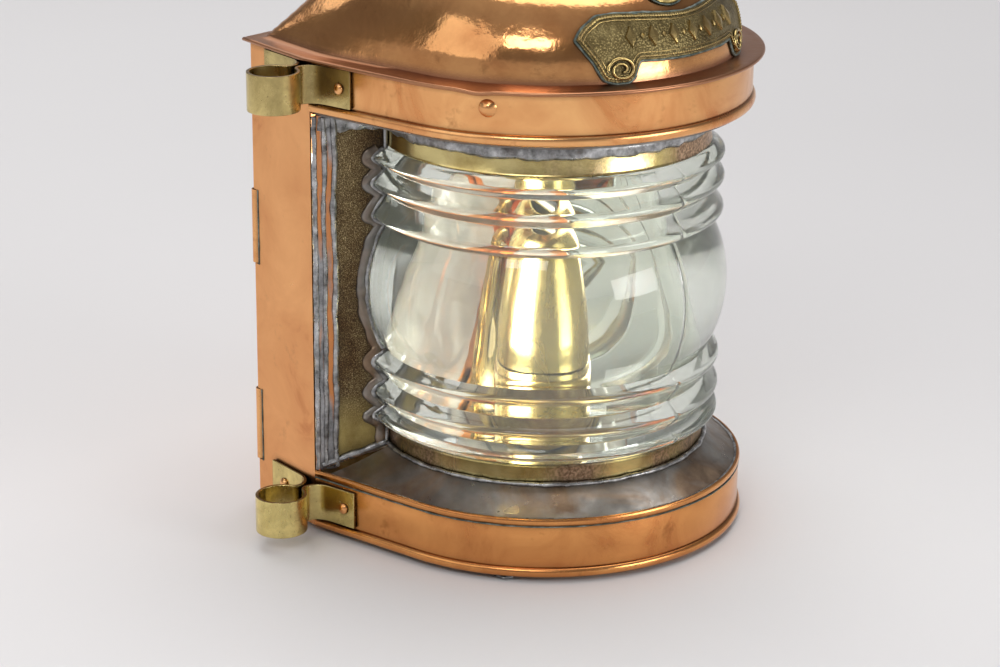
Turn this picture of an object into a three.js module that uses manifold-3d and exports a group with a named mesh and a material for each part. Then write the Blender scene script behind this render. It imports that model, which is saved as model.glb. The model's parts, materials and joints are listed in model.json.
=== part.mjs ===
// Ship's masthead lantern: copper body with a round front, dioptric glass lens, hinged rear door, oil burner.
// Millimetres, +Z up, the lens faces -Y and the door +Y. Heights in this file start at the underside of the
// base band, and plan positions at the lens axis; the last group moves both to the middle of the footprint.
import * as THREE from "three";
import { mergeVertices } from "three/addons/utils/BufferGeometryUtils.js";
import Module from "manifold-3d";

const wasm = await Module();
wasm.setup();

// Driving dimensions
const SHEET = 0.8; // copper and tinned sheet
const GAP = 0.3; // between pieces that are soldered, screwed or resting
const FOOT_HEIGHT = 2.5;
const AXIS_Y = -9.5; // lens axis in the finished part, whose footprint is centred on the origin

// Plan of the body
const BODY_RADIUS = 101.6;
const FRONT_CORNER = [105, 61]; // where the side panel starts
const REAR_CORNER = [95.4, 112.6];
const RIM_OVERHANG = 5.7; // hood rim beyond the body at the front
const RIM_OVERHANG_REAR = 2.5;

// Heights
const BAND_TOP = 30.6;
const BEAD_HEIGHT = 5;
const BEAD_OUT = 1.9;
const FLOOR_Z = 1;
const FEET = { // azimuth and distance from the lens axis
  front_left: [-60, 96.5], front_right: [60, 96.5], rear_left: [-143, 124], rear_right: [143, 124],
};
const PLATE_INSET = 2; // floor and ceiling plates inside the outline
const SHELF_RISE = 11;
const CEILING_Z = 215;
const TOP_BAND_BOTTOM = 216.5;
const BODY_TOP = 241.4;

// Lens and its collars
const LENS_CENTRE = 123.8;
const LENS_HALF = 72.5;
const LENS_INNER = 76;
const LENS_TIP = 91;
const LENS_BELT = 92.6;
const BELT_RADIUS = 65;
const BELT_HALF = 33.2;
const BELT_STEPS = 6;
const ARC_STEPS = 30; // facets of the round front, shared by body, lens, collars and shelf
const PRISM_TIPS = [37.6, 54.3, 67.3];
const PRISM_ROOTS = [[48.2, 82.8], [62.1, 82.8]];
const COLLAR_RADIUS = 82.5;
const COLLAR_LEDGE = 1.2;
const SCREEN_STRIP = 7; // width of the doubled strip of a screen
const SCREEN_STOP = 3.2 * SHEET; // screen edge short of the front corner

// Hood and chimney
const LIP_INSET = 6.5; // where the flat lip of the hood turns up, inside the body outline
const RIM_THICK = 2;
const NECK_RADIUS = 42;
const HOOD_CURVE = [ // share of the way from lip to neck at the front and at the rear, height
  [0, 0, 244.2], [0.015, 0.045, 249], [0.045, 0.135, 257], [0.12, 0.235, 266],
  [0.3, 0.4, 279], [0.62, 0.66, 290.5], [1, 1, 298.5],
];
const CHIMNEY_RADIUS = 41.4;
const CHIMNEY_TOP = 334;
const VENT_HOLES = 12;
const VENT_RADIUS = 3.6;
const VENT_Z = 323;
const FLUE_RADIUS = 30;
const FLUE_TOP = 306;
const TUBE_WALL = 1;
const PLATE_LIFT = 0.5;
const PLATE_HALF = 41; // degrees
const BADGE_HALF = 9;
const BADGE_SPAN = [[0.16, 0, 269.2], [0.27, 0, 277]]; // as in HOOD_CURVE

// Bail
const BAIL_PIVOT_Z = 311;
const BAIL_WIRE = 2.2;
const BAIL_HALF_WIDTH = 56;
const BAIL_REACH = 96;
const BAIL_REST = 13; // degrees below level, lying over the rear of the hood
const EAR_INNER = CHIMNEY_RADIUS + GAP;
const EAR_THICK = 3;
const EAR_HALF_WIDTH = 7;
const EAR_HALF_HEIGHT = 8;
const WIRE_ROOM = 0.15;

// Rod sleeves
const STRIP_HEIGHT = 19;
const STRIP_THICK = 1.6;
const SLEEVE_BORE = 11.3; // radius, for a 7/8 inch rod
const SLEEVE_CENTRE = [129.5, 60.5];
const SLEEVE_STEPS = 18;
const SLEEVE_LEVELS = { lower: 6, upper: 222.2 };
const FRONT_RIVET_IN = 24.3; // rivet inboard of the sleeve centre
const FRONT_RIVET_BACK = 20.5; // and ahead of it
const REAR_RIVET_ALONG = 25; // rivet along the side panel from the front corner
const RIVET_SHANK = 1.4;

// Door
const DOOR_BOTTOM = 5;
const DOOR_TOP = 182;
const DOOR_RIGHT = 95;
const OPENING_BOTTOM = 10;
const OPENING_TOP = 176;
const FLANGE = 8;
const FOLD = 1.5; // chamfer at the folded rear corner
const HINGE_ROOM = 0.4; // round the barrels
const SPINDLE_ROOM = 0.1;
const SPINDLE_RADIUS = 3;
const PIN_RADIUS = 0.8;
const PIN_ROOM = 0.08;
const PIN_LONGER = 10; // than its barrel
const BARREL_RADIUS = 3;
const HINGE_AXIS = [-93.25, 110.7];
const BARRELS = { lower: [21, 59.4], upper: [127.6, 166] };
const LATCH = [76, 93]; // x and z of the latch spindle
const LATCH_DEPTH = 2.4; // spindle behind the outer face of the door

// Burner and oil font
const FONT_RADIUS = 42;
const FONT_BOTTOM = 5.3;
const FONT_TOP = 50;
const FONT_WALL = 1.2;
const NECK_BORE = 14;
const NECK_HEIGHT = 4; // also the spout's
const RAIL_LENGTH = 150;
const RAIL_REAR = 105;
const SLIDE_PLATE = [50.6, 43]; // half width and half depth
const FILLER = [-32, 0];
const FILLER_BORE = 5.5;
const FILLER_RADIUS = 7;
const CAP_RADIUS = 8;
const SEAL_THICK = 0.8;
const BURNER_RADIUS = 23;
const BURNER_BOTTOM = 60;
const BURNER_MIDDLE = 92;
const BURNER_TOP = 118;
const WICK_WIDTH = 18;
const WICK_THICK = 2.4;
const WICK_FOOT = 20;
const WICK_TOP = 121;
const WICK_ROOM = 0.35;
const WICK_TUBE_WALL = 0.7;
const WINDER_RADIUS = 1.5;
const WINDER_LENGTH = 40;
const SPINDLE = [4.4, 84]; // x and z of the wick spindle

const metal = (color, roughness) => new THREE.MeshStandardMaterial({ color, roughness, metalness: 1 });
const copper = metal(0xd98a5c, 0.28);
const brass = metal(0xc7b06a, 0.35);
const tin = metal(0x9a9c9e, 0.4);
const steel = metal(0x8b8d90, 0.35);
const glass = new THREE.MeshStandardMaterial({
  color: 0xdfe8e0, roughness: 0.05, metalness: 0, transparent: true, opacity: 0.4,
});
const cotton = new THREE.MeshStandardMaterial({ color: 0xe6dfcc, roughness: 0.95, metalness: 0 });
const leather = new THREE.MeshStandardMaterial({ color: 0x5a3a24, roughness: 0.85, metalness: 0 });

const rad = THREE.MathUtils.degToRad;

function add(group, name, geometry, material) {
  const mesh = new THREE.Mesh(geometry, material);
  mesh.name = name;
  group.add(mesh);
  return mesh;
}

// Solids from rings of points, profiles and outlines

function signedVolume(points, faces) {
  let volume = 0;
  const cross = new THREE.Vector3();
  for (const [a, b, c] of faces) volume += points[a].dot(cross.crossVectors(points[b], points[c]));
  return volume;
}

function solidFrom(points, faces) {
  const outward = signedVolume(points, faces) > 0;
  const geometry = new THREE.BufferGeometry();
  geometry.setAttribute("position", new THREE.Float32BufferAttribute(points.flatMap((p) => p.toArray()), 3));
  geometry.setIndex(faces.flatMap(([a, b, c]) => (outward ? [a, b, c] : [a, c, b])));
  return geometry;
}

// Skins rings of equal count. With an outline (the ring in its own plane) the two ends are capped,
// and without one the last ring joins the first.
function loft(rings, outline) {
  const count = rings[0].length;
  const spans = outline ? rings.length - 1 : rings.length;
  const faces = [];
  for (let i = 0; i < spans; i++) {
    const near = i * count;
    const far = ((i + 1) % rings.length) * count;
    for (let j = 0; j < count; j++) {
      const k = (j + 1) % count;
      faces.push([near + j, near + k, far + k], [near + j, far + k, far + j]);
    }
  }
  if (outline) {
    const flat = outline.map(([u, v]) => new THREE.Vector2(u, v));
    const ccw = THREE.ShapeUtils.area(flat) > 0;
    const last = (rings.length - 1) * count;
    for (const [a, b, c] of THREE.ShapeUtils.triangulateShape(flat, [])) {
      faces.push(ccw ? [a, c, b] : [a, b, c]);
      faces.push(ccw ? [last + a, last + b, last + c] : [last + a, last + c, last + b]);
    }
  }
  return solidFrom(rings.flat(), faces);
}

// Azimuth is measured from the front, positive towards +X.
function around(azimuth, radius) {
  return [radius * Math.sin(rad(azimuth)), -radius * Math.cos(rad(azimuth))];
}

// A closed [radius, z] profile turned about the lens axis between two azimuths.
function arcSolid(profile, from, to, steps) {
  const rings = Array.from({ length: steps + 1 }, (_, i) => {
    const azimuth = from + ((to - from) * i) / steps;
    return profile.map(([r, z]) => new THREE.Vector3(...around(azimuth, r), z));
  });
  return loft(rings, profile);
}

// A closed [radius, z] profile turned all the way round.
function ringSolid(profile, steps) {
  const rings = Array.from({ length: steps }, (_, i) => {
    const azimuth = (360 * i) / steps;
    return profile.map(([r, z]) => new THREE.Vector3(...around(azimuth, r), z));
  });
  return loft(rings);
}

function pipe(inner, outer, from, to, steps) {
  return ringSolid([[inner, from], [outer, from], [outer, to], [inner, to]], steps);
}

// A full lathe whose profile starts and ends on the axis, standing along +Z.
function turned(profile, steps) {
  const geometry = new THREE.LatheGeometry(profile.map(([r, z]) => new THREE.Vector2(r, z)), steps);
  return closed(geometry.rotateX(Math.PI / 2));
}

function closed(geometry) {
  const bare = new THREE.BufferGeometry();
  bare.setAttribute("position", geometry.getAttribute("position").clone());
  if (geometry.index) bare.setIndex(geometry.index.clone());
  const merged = mergeVertices(bare, 1e-4);
  const position = merged.getAttribute("position");
  const points = Array.from({ length: position.count }, (_, i) => {
    return new THREE.Vector3().fromBufferAttribute(position, i);
  });
  const index = merged.index.array;
  const faces = [];
  for (let i = 0; i < index.length; i += 3) {
    const [a, b, c] = [index[i], index[i + 1], index[i + 2]];
    if (a !== b && b !== c && c !== a) faces.push([a, b, c]);
  }
  return solidFrom(points, faces);
}

function extruded(outline, from, to, hole) {
  const shape = new THREE.Shape(outline.map(([x, y]) => new THREE.Vector2(x, y)));
  if (hole) shape.holes.push(new THREE.Path(hole.map(([x, y]) => new THREE.Vector2(x, y))));
  const geometry = new THREE.ExtrudeGeometry(shape, { depth: to - from, bevelEnabled: false, steps: 1 });
  return closed(geometry.translate(0, 0, from));
}

function box(x0, x1, y0, y1, z0, z1) {
  const geometry = new THREE.BoxGeometry(x1 - x0, y1 - y0, z1 - z0);
  return closed(geometry.translate((x0 + x1) / 2, (y0 + y1) / 2, (z0 + z1) / 2));
}

function rod(radius, length, sides) {
  return closed(new THREE.CylinderGeometry(radius, radius, length, sides).rotateX(Math.PI / 2));
}

function manifold(geometry) {
  const merged = mergeVertices(geometry, 1e-4);
  return new wasm.Manifold(new wasm.Mesh({
    numProp: 3,
    vertProperties: new Float32Array(merged.getAttribute("position").array),
    triVerts: new Uint32Array(merged.index.array),
  }));
}

function fromManifold(solid) {
  const { vertProperties, triVerts } = solid.getMesh();
  const geometry = new THREE.BufferGeometry();
  geometry.setAttribute("position", new THREE.BufferAttribute(new Float32Array(vertProperties), 3));
  geometry.setIndex(new THREE.BufferAttribute(new Uint32Array(triVerts), 1));
  return geometry;
}

function cut(geometry, ...cutters) {
  return fromManifold(cutters.reduce((solid, cutter) => solid.subtract(manifold(cutter)), manifold(geometry)));
}

function joined(geometry, ...others) {
  return fromManifold(others.reduce((solid, other) => solid.add(manifold(other)), manifold(geometry)));
}

function circle(radius, sides, [cx, cy] = [0, 0]) {
  return Array.from({ length: sides }, (_, i) => {
    const angle = (2 * Math.PI * i) / sides;
    return [cx + radius * Math.cos(angle), cy + radius * Math.sin(angle)];
  });
}

// Each point of a path with the mitred direction that moves it outwards, to the right of travel.
function mitred(points, loop) {
  const normal = (a, b) => new THREE.Vector2(b[1] - a[1], a[0] - b[0]).normalize();
  return points.map((point, i) => {
    const before = points[i - 1] ?? (loop ? points[points.length - 1] : null);
    const after = points[i + 1] ?? (loop ? points[0] : null);
    const one = normal(before ?? point, before ? point : after);
    const two = normal(after ? point : before, after ?? point);
    const mitre = one.clone().add(two).divideScalar(1 + one.dot(two));
    return { point, mitre };
  });
}

function offset({ point, mitre }, distance) {
  return [point[0] + mitre.x * distance, point[1] + mitre.y * distance];
}

// A closed [outwards, z] profile carried along a path.
function swept(path, profile) {
  const rings = mitred(path).map((node) => profile.map(([d, z]) => new THREE.Vector3(...offset(node, d), z)));
  return loft(rings, profile);
}

// The outline of a bent strip of even thickness.
function strip(path, thickness) {
  const nodes = mitred(path);
  const outer = nodes.map((node) => offset(node, thickness / 2));
  const inner = nodes.map((node) => offset(node, -thickness / 2));
  return [...outer, ...inner.reverse()];
}

const sided = (points, side) => points.map(([x, y]) => [side * x, y]);

// Body plan

function between(a, b, parts) {
  return Array.from({ length: parts }, (_, i) => [
    a[0] + ((b[0] - a[0]) * i) / parts,
    a[1] + ((b[1] - a[1]) * i) / parts,
  ]);
}

const cornerDistance = Math.hypot(...FRONT_CORNER);
const cornerAzimuth = THREE.MathUtils.radToDeg(Math.atan2(FRONT_CORNER[0], -FRONT_CORNER[1]));
const tangentAzimuth = cornerAzimuth - THREE.MathUtils.radToDeg(Math.acos(BODY_RADIUS / cornerDistance));

// The curved and straight wall ahead of the front corners, from the left corner round to the right.
function frontWall() {
  const arc = Array.from({ length: ARC_STEPS + 1 }, (_, i) =>
    around(-tangentAzimuth + (2 * tangentAzimuth * i) / ARC_STEPS, BODY_RADIUS));
  const leftCorner = [-FRONT_CORNER[0], FRONT_CORNER[1]];
  return [
    ...between(leftCorner, arc[0], 4),
    ...arc,
    ...between(arc[ARC_STEPS], FRONT_CORNER, 4).slice(1),
    FRONT_CORNER,
  ];
}

function rearWall() {
  const [x, y] = REAR_CORNER;
  return [
    ...between(FRONT_CORNER, REAR_CORNER, 3).slice(1),
    ...between(REAR_CORNER, [-x, y], 10),
    ...between([-x, y], [-FRONT_CORNER[0], FRONT_CORNER[1]], 3),
  ];
}

const LENS_END = cornerAzimuth - THREE.MathUtils.radToDeg(Math.asin((SHEET / 2 + GAP) / LENS_INNER));

const FRONT = frontWall();
const PLAN = mitred([...FRONT, ...rearWall()], true);

// The whole outline moved outwards, by less and less from the axis to the rear if a rear value is given.
function outline(distance, rear = distance) {
  return PLAN.map((node) => {
    const share = THREE.MathUtils.clamp(node.point[1] / REAR_CORNER[1], 0, 1);
    return offset(node, distance + (rear - distance) * share);
  });
}

// Base

function addBase(group) {
  add(group, "base_plate", extruded(outline(-PLATE_INSET), FLOOR_Z, FLOOR_Z + SHEET), copper);
  const bead = [[0, 0], [BEAD_OUT, 0.8], [BEAD_OUT, BEAD_HEIGHT - 1.2], [0.4, BEAD_HEIGHT]];
  const lip = [[0, BAND_TOP - 4], [0.9, BAND_TOP - 2.6], [0.9, BAND_TOP - 0.8], [0, BAND_TOP]];
  const wall = [...bead, ...lip, [-SHEET, BAND_TOP], [-SHEET, 0]];
  add(group, "base_band", swept(trimmedFront(), wall), copper);
  addShelf(group);
  const footProfile = [
    [0, -FOOT_HEIGHT], [5, -FOOT_HEIGHT], [6.4, -1.2], [6, -GAP], [3, -GAP], [3, FLOOR_Z - GAP], [0, FLOOR_Z - GAP],
  ];
  for (const [place, [azimuth, radius]] of Object.entries(FEET)) {
    const [x, y] = around(azimuth, radius);
    const foot = turned(footProfile, 12);
    add(group, place + "_foot", foot, tin).position.set(x, y, 0);
  }
}

// The front wall stopped just short of the folded edges of the side panels.
function trimmedFront() {
  const stop = 0.6;
  const shorten = ([x, y]) => [x, y - stop];
  return [shorten(FRONT[0]), ...FRONT.slice(1, -1), shorten(FRONT[FRONT.length - 1])];
}

// Conical tinned shelf that rises from the top of the base band to the lower lens collar.
function addShelf(group) {
  const profile = [[0, 0], [1, 0], [1, 1], [0, 1]];
  const wall = mitred(FRONT).slice(1, -1);
  const rings = wall.map((node) => {
    const [x, y] = offset(node, -SHEET - GAP);
    const azimuth = THREE.MathUtils.radToDeg(Math.atan2(x, -y));
    const limited = THREE.MathUtils.clamp(azimuth, -LENS_END, LENS_END);
    const [ix, iy] = around(limited, COLLAR_RADIUS + GAP);
    const outer = BAND_TOP - 1;
    const inner = BAND_TOP + SHELF_RISE;
    return [
      new THREE.Vector3(x, y, outer - SHEET),
      new THREE.Vector3(x, y, outer),
      new THREE.Vector3(ix, iy, inner),
      new THREE.Vector3(ix, iy, inner - SHEET),
    ];
  });
  add(group, "shelf", loft(rings, profile), tin);
}

// Lens between its two collars

function lensProfile() {
  const centre = LENS_BELT - BELT_RADIUS;
  const belt = Array.from({ length: BELT_STEPS + 1 }, (_, i) => {
    const z = (BELT_HALF * i) / BELT_STEPS;
    return [centre + Math.sqrt(BELT_RADIUS ** 2 - z ** 2), z];
  });
  const prisms = PRISM_TIPS.flatMap((tip, i) => [
    [LENS_TIP - 0.6, tip - 0.5],
    [LENS_TIP, tip],
    [LENS_TIP - 0.7, tip + 0.8],
    ...(PRISM_ROOTS[i] ? [[PRISM_ROOTS[i][1], PRISM_ROOTS[i][0]]] : []),
  ]);
  const upper = [...belt, ...prisms, [84.5, LENS_HALF - 1.5], [COLLAR_RADIUS, LENS_HALF], [LENS_INNER, LENS_HALF]];
  const lower = upper.slice(1).map(([r, z]) => [r, -z]).reverse();
  return [...lower, ...upper].map(([r, z]) => [r, z + LENS_CENTRE]);
}

function addLens(group) {
  add(group, "lens", arcSolid(lensProfile(), -LENS_END, LENS_END, ARC_STEPS), glass);
  const seat = LENS_CENTRE - LENS_HALF - GAP;
  const foot = BAND_TOP + SHELF_RISE - 6;
  const lower = [
    [COLLAR_RADIUS, foot], [COLLAR_RADIUS, seat], [LENS_INNER, seat], [LENS_INNER, seat - COLLAR_LEDGE],
    [COLLAR_RADIUS - 1, seat - COLLAR_LEDGE], [COLLAR_RADIUS - 1, foot],
  ];
  const head = LENS_CENTRE + LENS_HALF + GAP;
  const top = CEILING_Z - GAP;
  const upper = [
    [COLLAR_RADIUS, top], [COLLAR_RADIUS, head], [LENS_INNER, head], [LENS_INNER, head + COLLAR_LEDGE],
    [COLLAR_RADIUS - 1, head + COLLAR_LEDGE], [COLLAR_RADIUS - 1, top],
  ];
  add(group, "lower_collar", arcSolid(lower, -LENS_END, LENS_END, ARC_STEPS), brass);
  add(group, "upper_collar", arcSolid(upper, -LENS_END, LENS_END, ARC_STEPS), brass);
}

// Screens close the body from the ends of the lens to the front corners, with a doubled strip at the corner.
function addScreens(group) {
  const from = LENS_INNER;
  const to = cornerDistance - SCREEN_STOP;
  const half = SHEET / 2;
  const doubled = to - SCREEN_STRIP;
  const plan = [
    [from, -half], [to, -half], [to, half + SHEET], [doubled, half + SHEET], [doubled, half], [from, half],
  ];
  for (const [place, side] of [["left", -1], ["right", 1]]) {
    const geometry = extruded(plan, FLOOR_Z + SHEET + GAP, CEILING_Z - GAP);
    const screen = add(group, place + "_screen", side > 0 ? mirroredPlan(geometry) : geometry, tin);
    screen.rotation.z = Math.atan2(FRONT_CORNER[1], side * FRONT_CORNER[0]);
  }
}

// Turned over, left to right, about the line it lies on.
function mirroredPlan(geometry) {
  return closed(geometry.rotateX(Math.PI).translate(0, 0, FLOOR_Z + SHEET + GAP + CEILING_Z - GAP));
}

// Side panels, each one sheet folded in at the rear to frame the door
function addSidePanels(group) {
  const inset = SHEET / 2;
  const [cx, cy] = REAR_CORNER;
  const slope = (FRONT_CORNER[0] - cx) / (cy - FRONT_CORNER[1]);
  const path = [
    [FRONT_CORNER[0] - inset, FRONT_CORNER[1]],
    [cx - inset + FOLD * slope, cy - inset - FOLD],
    [cx - inset - FOLD, cy - inset],
    [cx - FLANGE, cy - inset],
  ];
  const sheet = extruded(strip(path, SHEET), 0, BODY_TOP);
  add(group, "right_side_panel", sheet, copper);
  const mirrored = extruded(strip(sided(path, -1).reverse(), SHEET), 0, BODY_TOP);
  const [ax, ay] = HINGE_AXIS;
  const room = BARREL_RADIUS + HINGE_ROOM;
  const beyond = 2 * BARREL_RADIUS;
  const slots = Object.values(BARRELS).map(([from, to]) =>
    box(ax - beyond, ax + room, ay - room, ay + beyond, from - HINGE_ROOM, to + HINGE_ROOM));
  add(group, "left_side_panel", cut(mirrored, ...slots), copper);
  const edge = cx - FLANGE - GAP;
  add(group, "rear_sill", box(-edge, edge, cy - SHEET, cy, 0, OPENING_BOTTOM), copper);
  add(group, "rear_upper_panel", box(-edge, edge, cy - SHEET, cy, OPENING_TOP, BODY_TOP), copper);
}

// Top band, ceiling and hood

function addTop(group) {
  const bead = [[0, 0], [BEAD_OUT, 1], [BEAD_OUT, 4], [0, 5.5]].map(([out, z]) => [out, TOP_BAND_BOTTOM + z]);
  const wall = [...bead, [0, BODY_TOP], [-SHEET, BODY_TOP], [-SHEET, TOP_BAND_BOTTOM]];
  add(group, "top_band", swept(trimmedFront(), wall), copper);
  const ceiling = extruded(outline(-PLATE_INSET), CEILING_Z, CEILING_Z + SHEET, circle(FLUE_RADIUS + GAP, 32));
  add(group, "ceiling_plate", ceiling, tin);
  add(group, "hood", hood(), copper);
}

// Rings of the hood: rolled rim, flat lip, then the sheet drawn in from the outline to the round neck.
function hood() {
  const bottom = BODY_TOP + GAP;
  const level = (points, z) => points.map(([x, y]) => new THREE.Vector3(x, y, z));
  const towardsNeck = ([front, rear], thickness) => outline(-LIP_INSET - thickness).map(([x, y]) => {
    const behind = THREE.MathUtils.clamp(y / REAR_CORNER[1], 0, 1);
    const share = front + (rear - front) * behind;
    const reach = Math.hypot(x, y);
    const radius = reach + (NECK_RADIUS + (thickness ? 0 : SHEET) - reach) * share;
    return [(x * radius) / reach, (y * radius) / reach];
  });
  const outer = HOOD_CURVE.map((step) => level(towardsNeck(step, 0), step[2]));
  const inner = HOOD_CURVE.map((step) => level(towardsNeck(step, SHEET), step[2] - SHEET)).reverse();
  return loft([
    level(outline(RIM_OVERHANG - 1, RIM_OVERHANG_REAR - 1), bottom),
    level(outline(RIM_OVERHANG, RIM_OVERHANG_REAR), bottom + RIM_THICK / 2),
    level(outline(RIM_OVERHANG - 1, RIM_OVERHANG_REAR - 1), bottom + RIM_THICK),
    ...outer,
    ...inner.slice(0, -1),
    level(outline(-LIP_INSET), bottom + 1.3),
    level(outline(0), bottom + 0.4),
  ]);
}

// Scroll plate and badge on the front of the hood, both plain.
function addPlates(group) {
  const lip = BODY_RADIUS - LIP_INSET;
  const radiusAt = (share) => lip + (NECK_RADIUS + SHEET - lip) * share;
  const plate = (steps, half, count) => {
    const face = steps.map(([share, , z]) => [radiusAt(share) + PLATE_LIFT, z + PLATE_LIFT]);
    const outside = face.map(([r, z]) => [r + 1, z + 0.5]).reverse();
    return arcSolid([...face, ...outside], -half, half, count);
  };
  add(group, "scroll_plate", plate(HOOD_CURVE.slice(1, 4), PLATE_HALF, 20), brass);
  add(group, "hood_badge", plate(BADGE_SPAN, BADGE_HALF, 6), brass);
}

// Chimney, its cap and the smoke tube

function addChimney(group) {
  const bottom = HOOD_CURVE[HOOD_CURVE.length - 1][2] - 6;
  const pitch = 360 / VENT_HOLES;
  const punches = Array.from({ length: VENT_HOLES / 2 }, (_, i) =>
    rod(VENT_RADIUS, 3 * CHIMNEY_RADIUS, 8)
      .rotateX(Math.PI / 2).rotateZ(rad(pitch * (i + 0.5))).translate(0, 0, VENT_Z));
  const wall = pipe(CHIMNEY_RADIUS - TUBE_WALL, CHIMNEY_RADIUS, bottom, CHIMNEY_TOP, 30);
  add(group, "chimney", cut(wall, ...punches), copper);
  const cap = CHIMNEY_TOP + GAP;
  const dome = [
    [0, cap + 15], [16, cap + 14], [32, cap + 10.5], [43, cap + 5], [48, cap + 1], [49, cap - 2], [47.8, cap - 2],
    [46.8, cap], [42, cap], [30, cap + 8.5], [15, cap + 12.4], [0, cap + 13.6],
  ];
  add(group, "chimney_cap", turned(dome.reverse(), 30), copper);
  add(group, "smoke_tube", pipe(FLUE_RADIUS - TUBE_WALL, FLUE_RADIUS, CEILING_Z, FLUE_TOP, 32), tin);
}

function addBail(group) {
  for (const [place, side] of [["left", -1], ["right", 1]]) {
    const outer = EAR_INNER + EAR_THICK;
    const [low, high] = [BAIL_PIVOT_Z - EAR_HALF_HEIGHT, BAIL_PIVOT_Z + EAR_HALF_HEIGHT];
    const plate = box(EAR_INNER, outer, -EAR_HALF_WIDTH, EAR_HALF_WIDTH, low, high);
    const hole = rod(BAIL_WIRE + WIRE_ROOM, 3 * EAR_THICK, 24)
      .rotateY(Math.PI / 2).translate(EAR_INNER + EAR_THICK / 2, 0, BAIL_PIVOT_Z);
    const curved = pipe(0.1, EAR_INNER, low - EAR_THICK, high + EAR_THICK, 36);
    const ear = add(group, place + "_bail_ear", cut(plate, hole, curved), brass);
    ear.rotation.z = side > 0 ? 0 : Math.PI;
  }
  const shoulder = BAIL_HALF_WIDTH;
  const straight = BAIL_REACH - shoulder;
  const half = [
    [EAR_INNER + 0.8, 0], [EAR_INNER + 5, 0], [shoulder - 4, 0.6], [shoulder - 0.7, 3.5], [shoulder, 8],
    [shoulder, straight],
  ];
  const arch = Array.from({ length: 9 }, (_, i) => {
    const angle = (Math.PI * (i + 1)) / 10;
    return [shoulder * Math.cos(angle), straight + shoulder * Math.sin(angle)];
  });
  const points = [...half, ...arch, ...sided(half, -1).reverse()].map(([x, u]) => new THREE.Vector3(x, u, 0));
  const path = new THREE.CatmullRomCurve3(points, false, "centripetal");
  const section = new THREE.Shape(circle(BAIL_WIRE, 8).map(([x, y]) => new THREE.Vector2(x, y)));
  const wire = closed(new THREE.ExtrudeGeometry(section, { steps: 42, bevelEnabled: false, extrudePath: path }));
  const bail = add(group, "bail_handle", wire, brass);
  bail.rotation.x = -rad(BAIL_REST);
  bail.position.z = BAIL_PIVOT_Z;
}

// Rod sleeves: one strip bent round the rod, with a leg on the band and a leg on the side panel.

function sleevePath() {
  const [cx, cy] = SLEEVE_CENTRE;
  const place = ([u, v]) => [cx - u, cy + v];
  const smooth = (points) =>
    new THREE.SplineCurve(points.map(([u, v]) => new THREE.Vector2(u, v))).getPoints(7).map(({ x, y }) => [x, y]);
  const mean = SLEEVE_BORE + STRIP_THICK / 2;
  const open = 25; // degrees of the loop left to the neck, each side
  const loop = Array.from({ length: SLEEVE_STEPS + 1 }, (_, i) => {
    const angle = rad(360 - open - ((360 - 2 * open) * i) / SLEEVE_STEPS);
    return [mean * Math.cos(angle), mean * Math.sin(angle)];
  });
  const front = [
    [24.7, -27], [23.7, -11], [22.7, -7], [20.4, -3.8], [17.2, -2.1], [14.4, -2], [12.4, -3.1], loop[0],
  ];
  const rear = [
    loop[SLEEVE_STEPS], [12.4, 3.1], [14.4, 2], [17.2, 2.1], [21, 4.2], [23.7, 7.5], [25.2, 11], [29.9, 36],
  ];
  return [...smooth(front), ...loop.slice(1, -1), ...smooth(rear)].map(place);
}

// Centres of the two rivets of a right-hand sleeve: position on the leg and the way out.
function rivetPlaces() {
  const sideRun = new THREE.Vector2(...REAR_CORNER).sub(new THREE.Vector2(...FRONT_CORNER)).normalize();
  const sideOut = new THREE.Vector2(sideRun.y, -sideRun.x);
  const [cx, cy] = SLEEVE_CENTRE;
  const legOut = 1.5; // middle of the strip beyond the side panel
  return {
    front: { x: cx - FRONT_RIVET_IN, y: cy - FRONT_RIVET_BACK, out: new THREE.Vector2(1, 0.05) },
    rear: {
      x: FRONT_CORNER[0] + sideRun.x * REAR_RIVET_ALONG + sideOut.x * legOut,
      y: FRONT_CORNER[1] + sideRun.y * REAR_RIVET_ALONG + sideOut.y * legOut,
      out: sideOut,
    },
  };
}

function addSleeves(group) {
  const path = sleevePath();
  const head = STRIP_THICK / 2 + GAP;
  const shank = [[0, -0.9], [RIVET_SHANK, -0.9], [RIVET_SHANK, head]];
  const dome = [[2.8, head], [2.5, head + 0.9], [1.5, head + 1.6], [0, head + 1.8]];
  const rivet = turned([...shank, ...dome], 8).rotateY(Math.PI / 2);
  for (const [height, bottom] of Object.entries(SLEEVE_LEVELS)) {
    for (const [place, side] of [["left", -1], ["right", 1]]) {
      const name = height + "_" + place;
      const middle = bottom + STRIP_HEIGHT / 2;
      const run = side > 0 ? path : sided(path, -1).reverse();
      const bent = extruded(strip(run, STRIP_THICK), bottom, bottom + STRIP_HEIGHT);
      const places = Object.entries(rivetPlaces());
      const drills = places.map(([, { x, y, out }]) =>
        rod(RIVET_SHANK + GAP, 10, 12)
          .rotateY(Math.PI / 2).rotateZ(Math.atan2(out.y, side * out.x)).translate(side * x, y, middle));
      add(group, name + "_sleeve", cut(bent, ...drills), brass);
      for (const [leg, { x, y, out }] of places) {
        const mesh = add(group, name + "_" + leg + "_rivet", rivet, copper);
        mesh.position.set(side * x, y, middle);
        mesh.rotation.z = Math.atan2(out.y, side * out.x);
      }
    }
  }
}

// Rear door with its rolled hinge barrels, hinge pins and turn latch

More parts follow.
